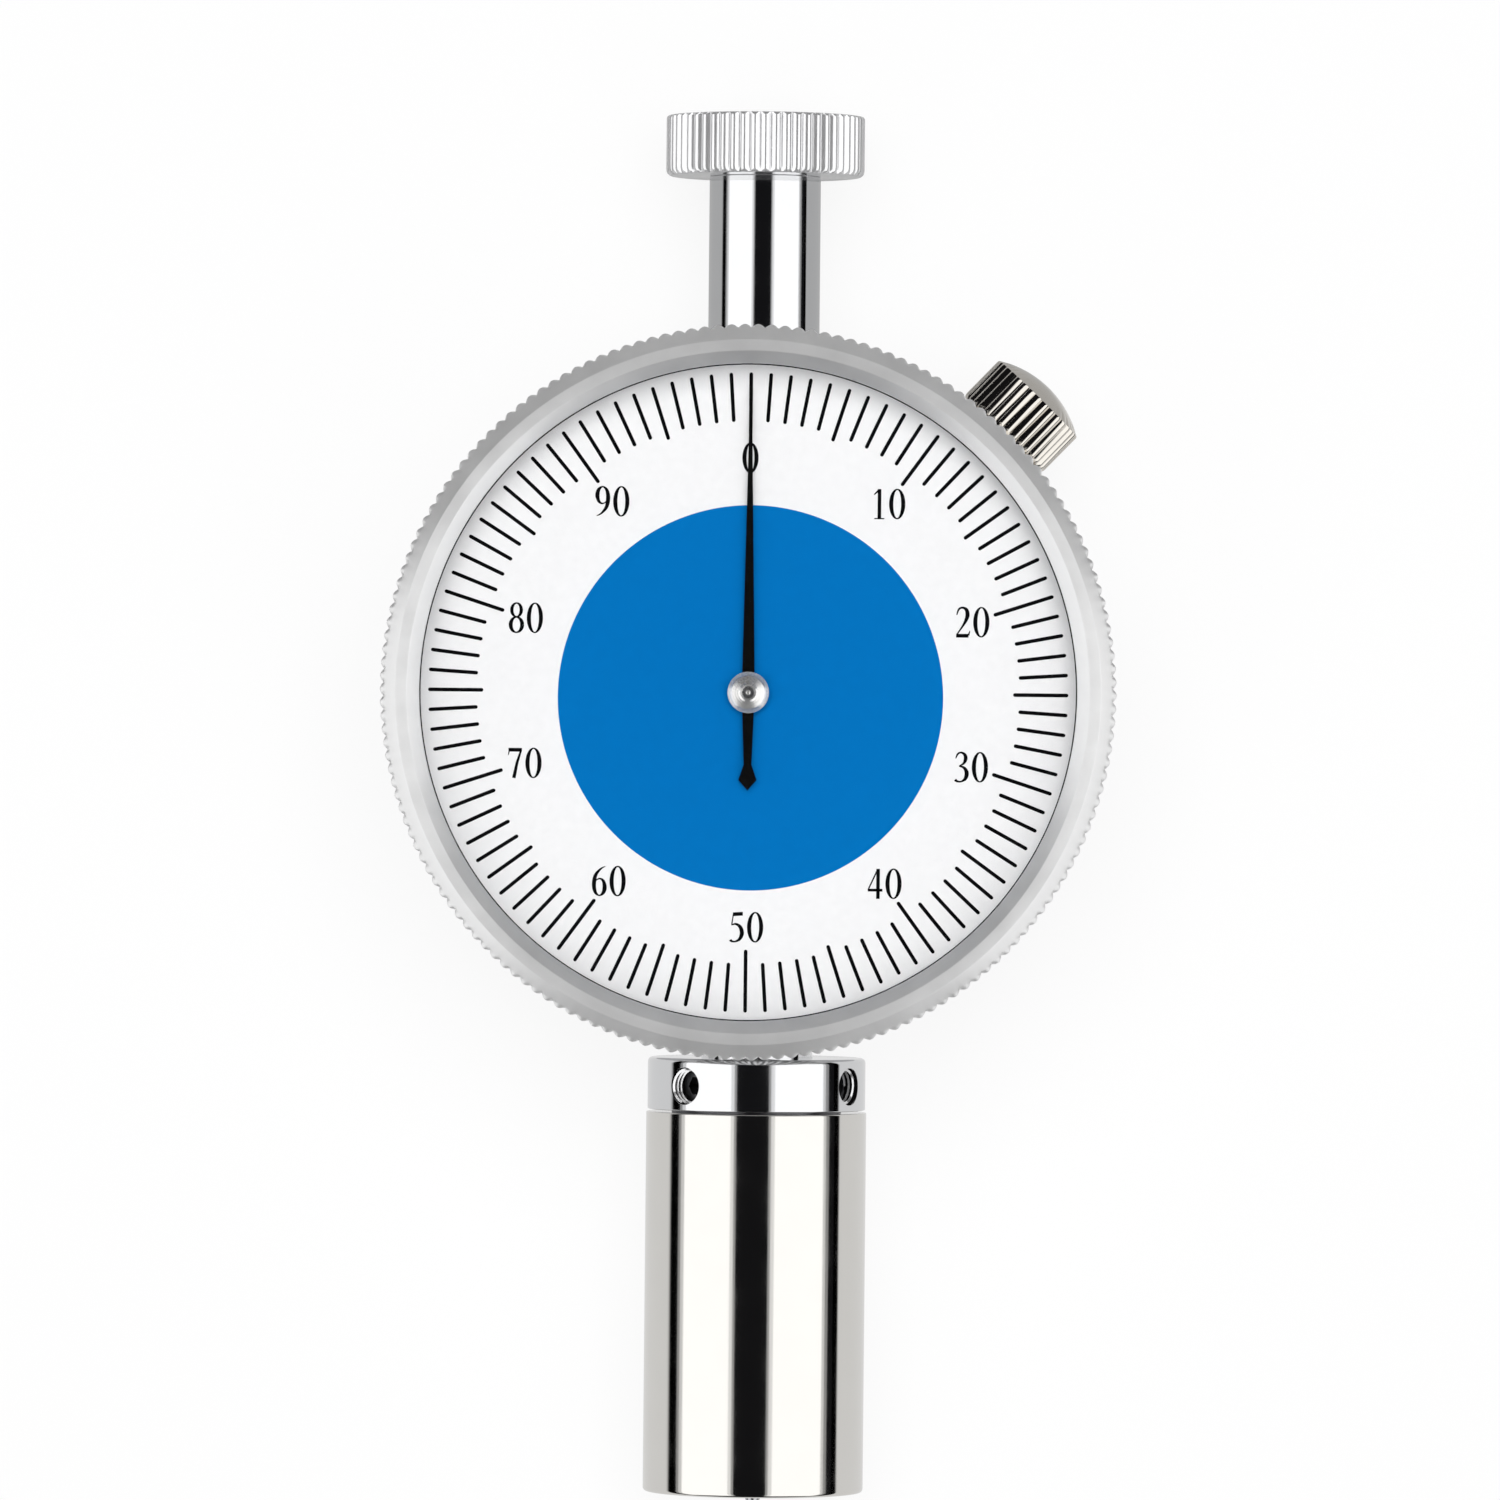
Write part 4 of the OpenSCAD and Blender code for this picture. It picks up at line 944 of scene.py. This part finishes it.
# Strokes of each numeral as (x, y, width), for a height of 1
SIX = [
    curve_stroke([
        (0.43, 0.98, 0.022), (0.28, 0.89, 0.05), (0.13, 0.68, 0.09), (0.085, 0.38, 0.105),
        (0.13, 0.13, 0.08), (0.25, 0.025, 0.04), (0.37, 0.11, 0.085), (0.415, 0.30, 0.105),
        (0.37, 0.50, 0.075), (0.27, 0.575, 0.045), (0.16, 0.53, 0.03), (0.10, 0.43, 0.025),
    ])
]
GLYPHS = {
    "0": [loop_stroke(0.245, 0.5, 0.185, 0.48, 0.035, 0.105)],
    "1": [
        [(0.265, 0.0, 0.09), (0.265, 0.985, 0.09)],
        [(0.10, 0.80, 0.028), (0.25, 0.95, 0.06)],
        [(0.11, 0.016, 0.032), (0.42, 0.016, 0.032)],
    ],
    "2": [
        curve_stroke([
            (0.055, 0.73, 0.028), (0.12, 0.92, 0.05), (0.24, 0.97, 0.06), (0.35, 0.90, 0.09),
            (0.385, 0.74, 0.105), (0.34, 0.56, 0.085), (0.23, 0.35, 0.05), (0.05, 0.07, 0.03),
        ]),
        [(0.04, 0.05, 0.10), (0.42, 0.05, 0.10)],
        [(0.42, 0.06, 0.05), (0.46, 0.21, 0.022)],
    ],
    "3": [
        curve_stroke([
            (0.065, 0.78, 0.025), (0.13, 0.93, 0.05), (0.23, 0.975, 0.05), (0.34, 0.91, 0.08),
            (0.37, 0.77, 0.095), (0.31, 0.62, 0.06), (0.17, 0.53, 0.03),
        ]),
        curve_stroke([
            (0.17, 0.53, 0.03), (0.32, 0.48, 0.07), (0.405, 0.32, 0.105), (0.37, 0.13, 0.09),
            (0.24, 0.025, 0.045), (0.11, 0.035, 0.06), (0.05, 0.085, 0.08),
        ]),
    ],
    "4": [
        [(0.32, 0.96, 0.04), (0.035, 0.30, 0.035)],
        [(0.02, 0.285, 0.075), (0.47, 0.285, 0.075)],
        [(0.335, 0.0, 0.09), (0.335, 0.985, 0.09)],
    ],
    "5": [
        [(0.13, 0.92, 0.10), (0.43, 0.94, 0.10)],
        [(0.145, 0.96, 0.03), (0.09, 0.56, 0.03)],
        curve_stroke([
            (0.09, 0.57, 0.03), (0.22, 0.60, 0.06), (0.355, 0.50, 0.09), (0.405, 0.30, 0.105),
            (0.34, 0.11, 0.08), (0.20, 0.025, 0.045), (0.09, 0.04, 0.06), (0.05, 0.085, 0.075),
        ]),
    ],
    "6": SIX,
    "7": [
        [(0.04, 0.925, 0.10), (0.45, 0.925, 0.10)],
        [(0.075, 0.95, 0.04), (0.035, 0.75, 0.022)],
        [(0.43, 0.93, 0.05), (0.31, 0.52, 0.07), (0.21, 0.0, 0.09)],
    ],
    "8": [
        loop_stroke(0.245, 0.755, 0.145, 0.225, 0.04, 0.085),
        loop_stroke(0.245, 0.27, 0.175, 0.25, 0.04, 0.10),
    ],
    "9": [half_turn(stroke) for stroke in SIX],
}


def add_stroke(verts, faces, stroke, left, low):
    """A ribbon of changing width along a stroke, from its numeral's lower left corner."""
    first = len(verts)
    last = len(stroke) - 1
    closed = stroke[0][:2] == stroke[-1][:2] and len(stroke) > LOOP_POINTS
    for i, (x, y, w) in enumerate(stroke):
        ahead, behind = stroke[min(i + 1, last)], stroke[max(i - 1, 0)]
        if closed and i in (0, last):
            ahead, behind = stroke[1], stroke[-2]
        along = Vector((ahead[0] - behind[0], ahead[1] - behind[1])).normalized()
        across = Vector((-along.y, along.x)) * (w * STROKE_BOLD / 2)
        for way in (1, -1):
            right, up = x + way * across.x, y + way * across.y
            verts.append((
                left + right * NUMERAL_H * NUMERAL_WIDE, low + up * NUMERAL_H,
                DIAL_TOP + PRINT_LIFT,
            ))
    for i in range(last):
        k = first + 2 * i
        faces.append([k + 1, k + 3, k + 2, k])


def make_numerals():
    verts, faces = [], []
    wide = GLYPH_W * NUMERAL_H * NUMERAL_WIDE
    for n in range(NUMERALS):
        text = str(10 * n)
        a = math.radians(90 - 360 / NUMERALS * n)
        total = len(text) * wide + (len(text) - 1) * NUMERAL_GAP
        for i, digit in enumerate(text):
            left = NUMERAL_RING * math.cos(a) - total / 2 + i * (wide + NUMERAL_GAP)
            low = NUMERAL_RING * math.sin(a) - NUMERAL_H / 2
            for stroke in GLYPHS[digit]:
                add_stroke(verts, faces, stroke, left, low)
    build_mesh("dial_numerals", verts, faces, INK, "bezel", smooth=False)


# Stage, light and camera
def make_floor():
    """A pale floor that shows white to the camera and keeps a soft shadow."""
    mesh = bpy.data.meshes.new("floor")
    signs = ((-1, -1), (1, -1), (1, 1), (-1, 1))
    corners = [Vector((x * FLOOR_HALF, y * FLOOR_HALF, 0)) * MM for x, y in signs]
    mesh.from_pydata(corners, [], [[0, 1, 2, 3]])
    floor = bpy.data.objects.new("floor", mesh)
    bpy.context.scene.collection.objects.link(floor)
    material, shader = new_material("floor_white", FLOOR_COLOUR, 0, FLOOR_ROUGH)
    tree = material.node_tree
    path = tree.nodes.new("ShaderNodeLightPath")
    camera_ray, glossy_ray = path.outputs["Is Camera Ray"], path.outputs["Is Glossy Ray"]
    where = tree.nodes.new("ShaderNodeTexCoord")
    split = tree.nodes.new("ShaderNodeSeparateXYZ")
    tree.links.new(where.outputs["Object"], split.inputs["Vector"])
    off_middle = math_node(tree, "SUBTRACT", split.outputs["X"], GLOW_MIDDLE * MM)
    away = math_node(tree, "ABSOLUTE", off_middle, 0)
    fade = ((GLOW_HALF - GLOW_FADE) * MM, (GLOW_HALF + GLOW_FADE) * MM)
    beside = map_range(tree, away, fade, (FLOOR_GLOSSY_SHARE, 0), True)
    fade = (GLOW_TOP[0] * MM, GLOW_TOP[1] * MM)
    above = map_range(tree, split.outputs["Y"], fade, (1, GLOW_TOP_SHARE), True)
    reflected = math_node(tree, "MULTIPLY", beside, above)
    in_metal = math_node(tree, "MULTIPLY", glossy_ray, reflected)
    in_view = math_node(tree, "MULTIPLY", camera_ray, FLOOR_CAMERA_SHARE)
    share = math_node(tree, "MAXIMUM", in_view, in_metal)
    glow = tree.nodes.new("ShaderNodeEmission")
    glow.inputs["Strength"].default_value = 1
    unlit = tree.nodes.new("ShaderNodeBsdfTransparent")
    unlit.inputs["Color"].default_value = BLACK
    plain = mix_shaders(tree, glossy_ray, shader.outputs["BSDF"], unlit.outputs["BSDF"])
    both = mix_shaders(tree, share, plain, glow.outputs["Emission"])
    tree.links.new(both, tree.nodes["Material Output"].inputs["Surface"])
    mesh.materials.append(material)


def softbox(name, from_angle, to_angle, side, distance, length, radiance, down):
    """A rectangular lamp that fills a span of angles off the camera's axis on one side."""
    middle = math.radians((from_angle + to_angle) / 2)
    width = 2 * distance * math.tan(math.radians((to_angle - from_angle) / 2))
    lamp = bpy.data.lights.new(name, "AREA")
    lamp.shape = "RECTANGLE"
    lamp.size = width
    lamp.size_y = length
    lamp.energy = radiance * math.pi * width * length
    lamp_object = bpy.data.objects.new(name, lamp)
    at = Vector((side * math.sin(middle), 0, math.cos(middle))) * distance
    lamp_object.location = at + Vector((STEM_X * MM, -down, STEM_Z * MM))
    lamp_object.rotation_euler = (0, side * middle, 0)
    bpy.context.scene.collection.objects.link(lamp_object)
    return lamp_object


def make_lights():
    """Strips to the left and right, an overhead fill that isn't reflected, and a dark world."""
    for side, word, strips in ((-1, "left", LEFT_STRIPS), (1, "right", RIGHT_STRIPS)):
        for start, end, share in strips:
            strip = softbox(
                f"softbox_{word}_{start}", start, end, side,
                LAMP_DISTANCE, LAMP_LENGTH, LAMP_RADIANCE * share, LAMP_DOWN,
            )
            strip.visible_diffuse = start < LOW_STRIP
    fill = softbox(
        "overhead_fill", -FILL_HALF, FILL_HALF, 1,
        FILL_DISTANCE, FILL_LENGTH, FILL_RADIANCE, -FILL_UP,
    )
    fill.rotation_euler.x = -math.atan2(FILL_UP, FILL_DISTANCE)
    fill.visible_glossy = False
    fill.visible_transmission = False
    world = bpy.data.worlds.new("studio")
    world.use_nodes = True
    tree = world.node_tree
    dark = tree.nodes["Background"]
    dark.inputs["Color"].default_value = WORLD_DARK
    white = tree.nodes.new("ShaderNodeBackground")
    white.inputs["Color"].default_value = WHITE
    camera_ray = tree.nodes.new("ShaderNodeLightPath").outputs["Is Camera Ray"]
    both = mix_shaders(tree, camera_ray, dark.outputs["Background"], white.outputs["Background"])
    tree.links.new(both, tree.nodes["World Output"].inputs["Surface"])
    bpy.context.scene.world = world


def make_camera():
    data = bpy.data.cameras.new("camera")
    data.sensor_width = SENSOR
    data.lens = SENSOR * CAMERA_DISTANCE * PHOTO_SCALE / PHOTO_W
    data.clip_start = CAMERA_NEAR
    data.clip_end = CAMERA_FAR
    camera = bpy.data.objects.new("camera", data)
    camera.location = Vector((*CAMERA_AT, STEM_Z + CAMERA_DISTANCE)) * MM
    camera.rotation_euler = (0, 0, math.radians(CAMERA_ROLL))
    bpy.context.scene.collection.objects.link(camera)
    bpy.context.scene.camera = camera


dress_nodes()
make_bezel()
make_top_knob()
make_clamp_screw()
make_upper_stem()
make_foot_sleeve()
make_pointer_hub()
make_collar()
make_main_spring()
make_blue_disc()
make_ticks()
make_numerals()
make_floor()
make_lights()
make_camera()
bpy.context.scene.view_settings.view_transform = "Standard"
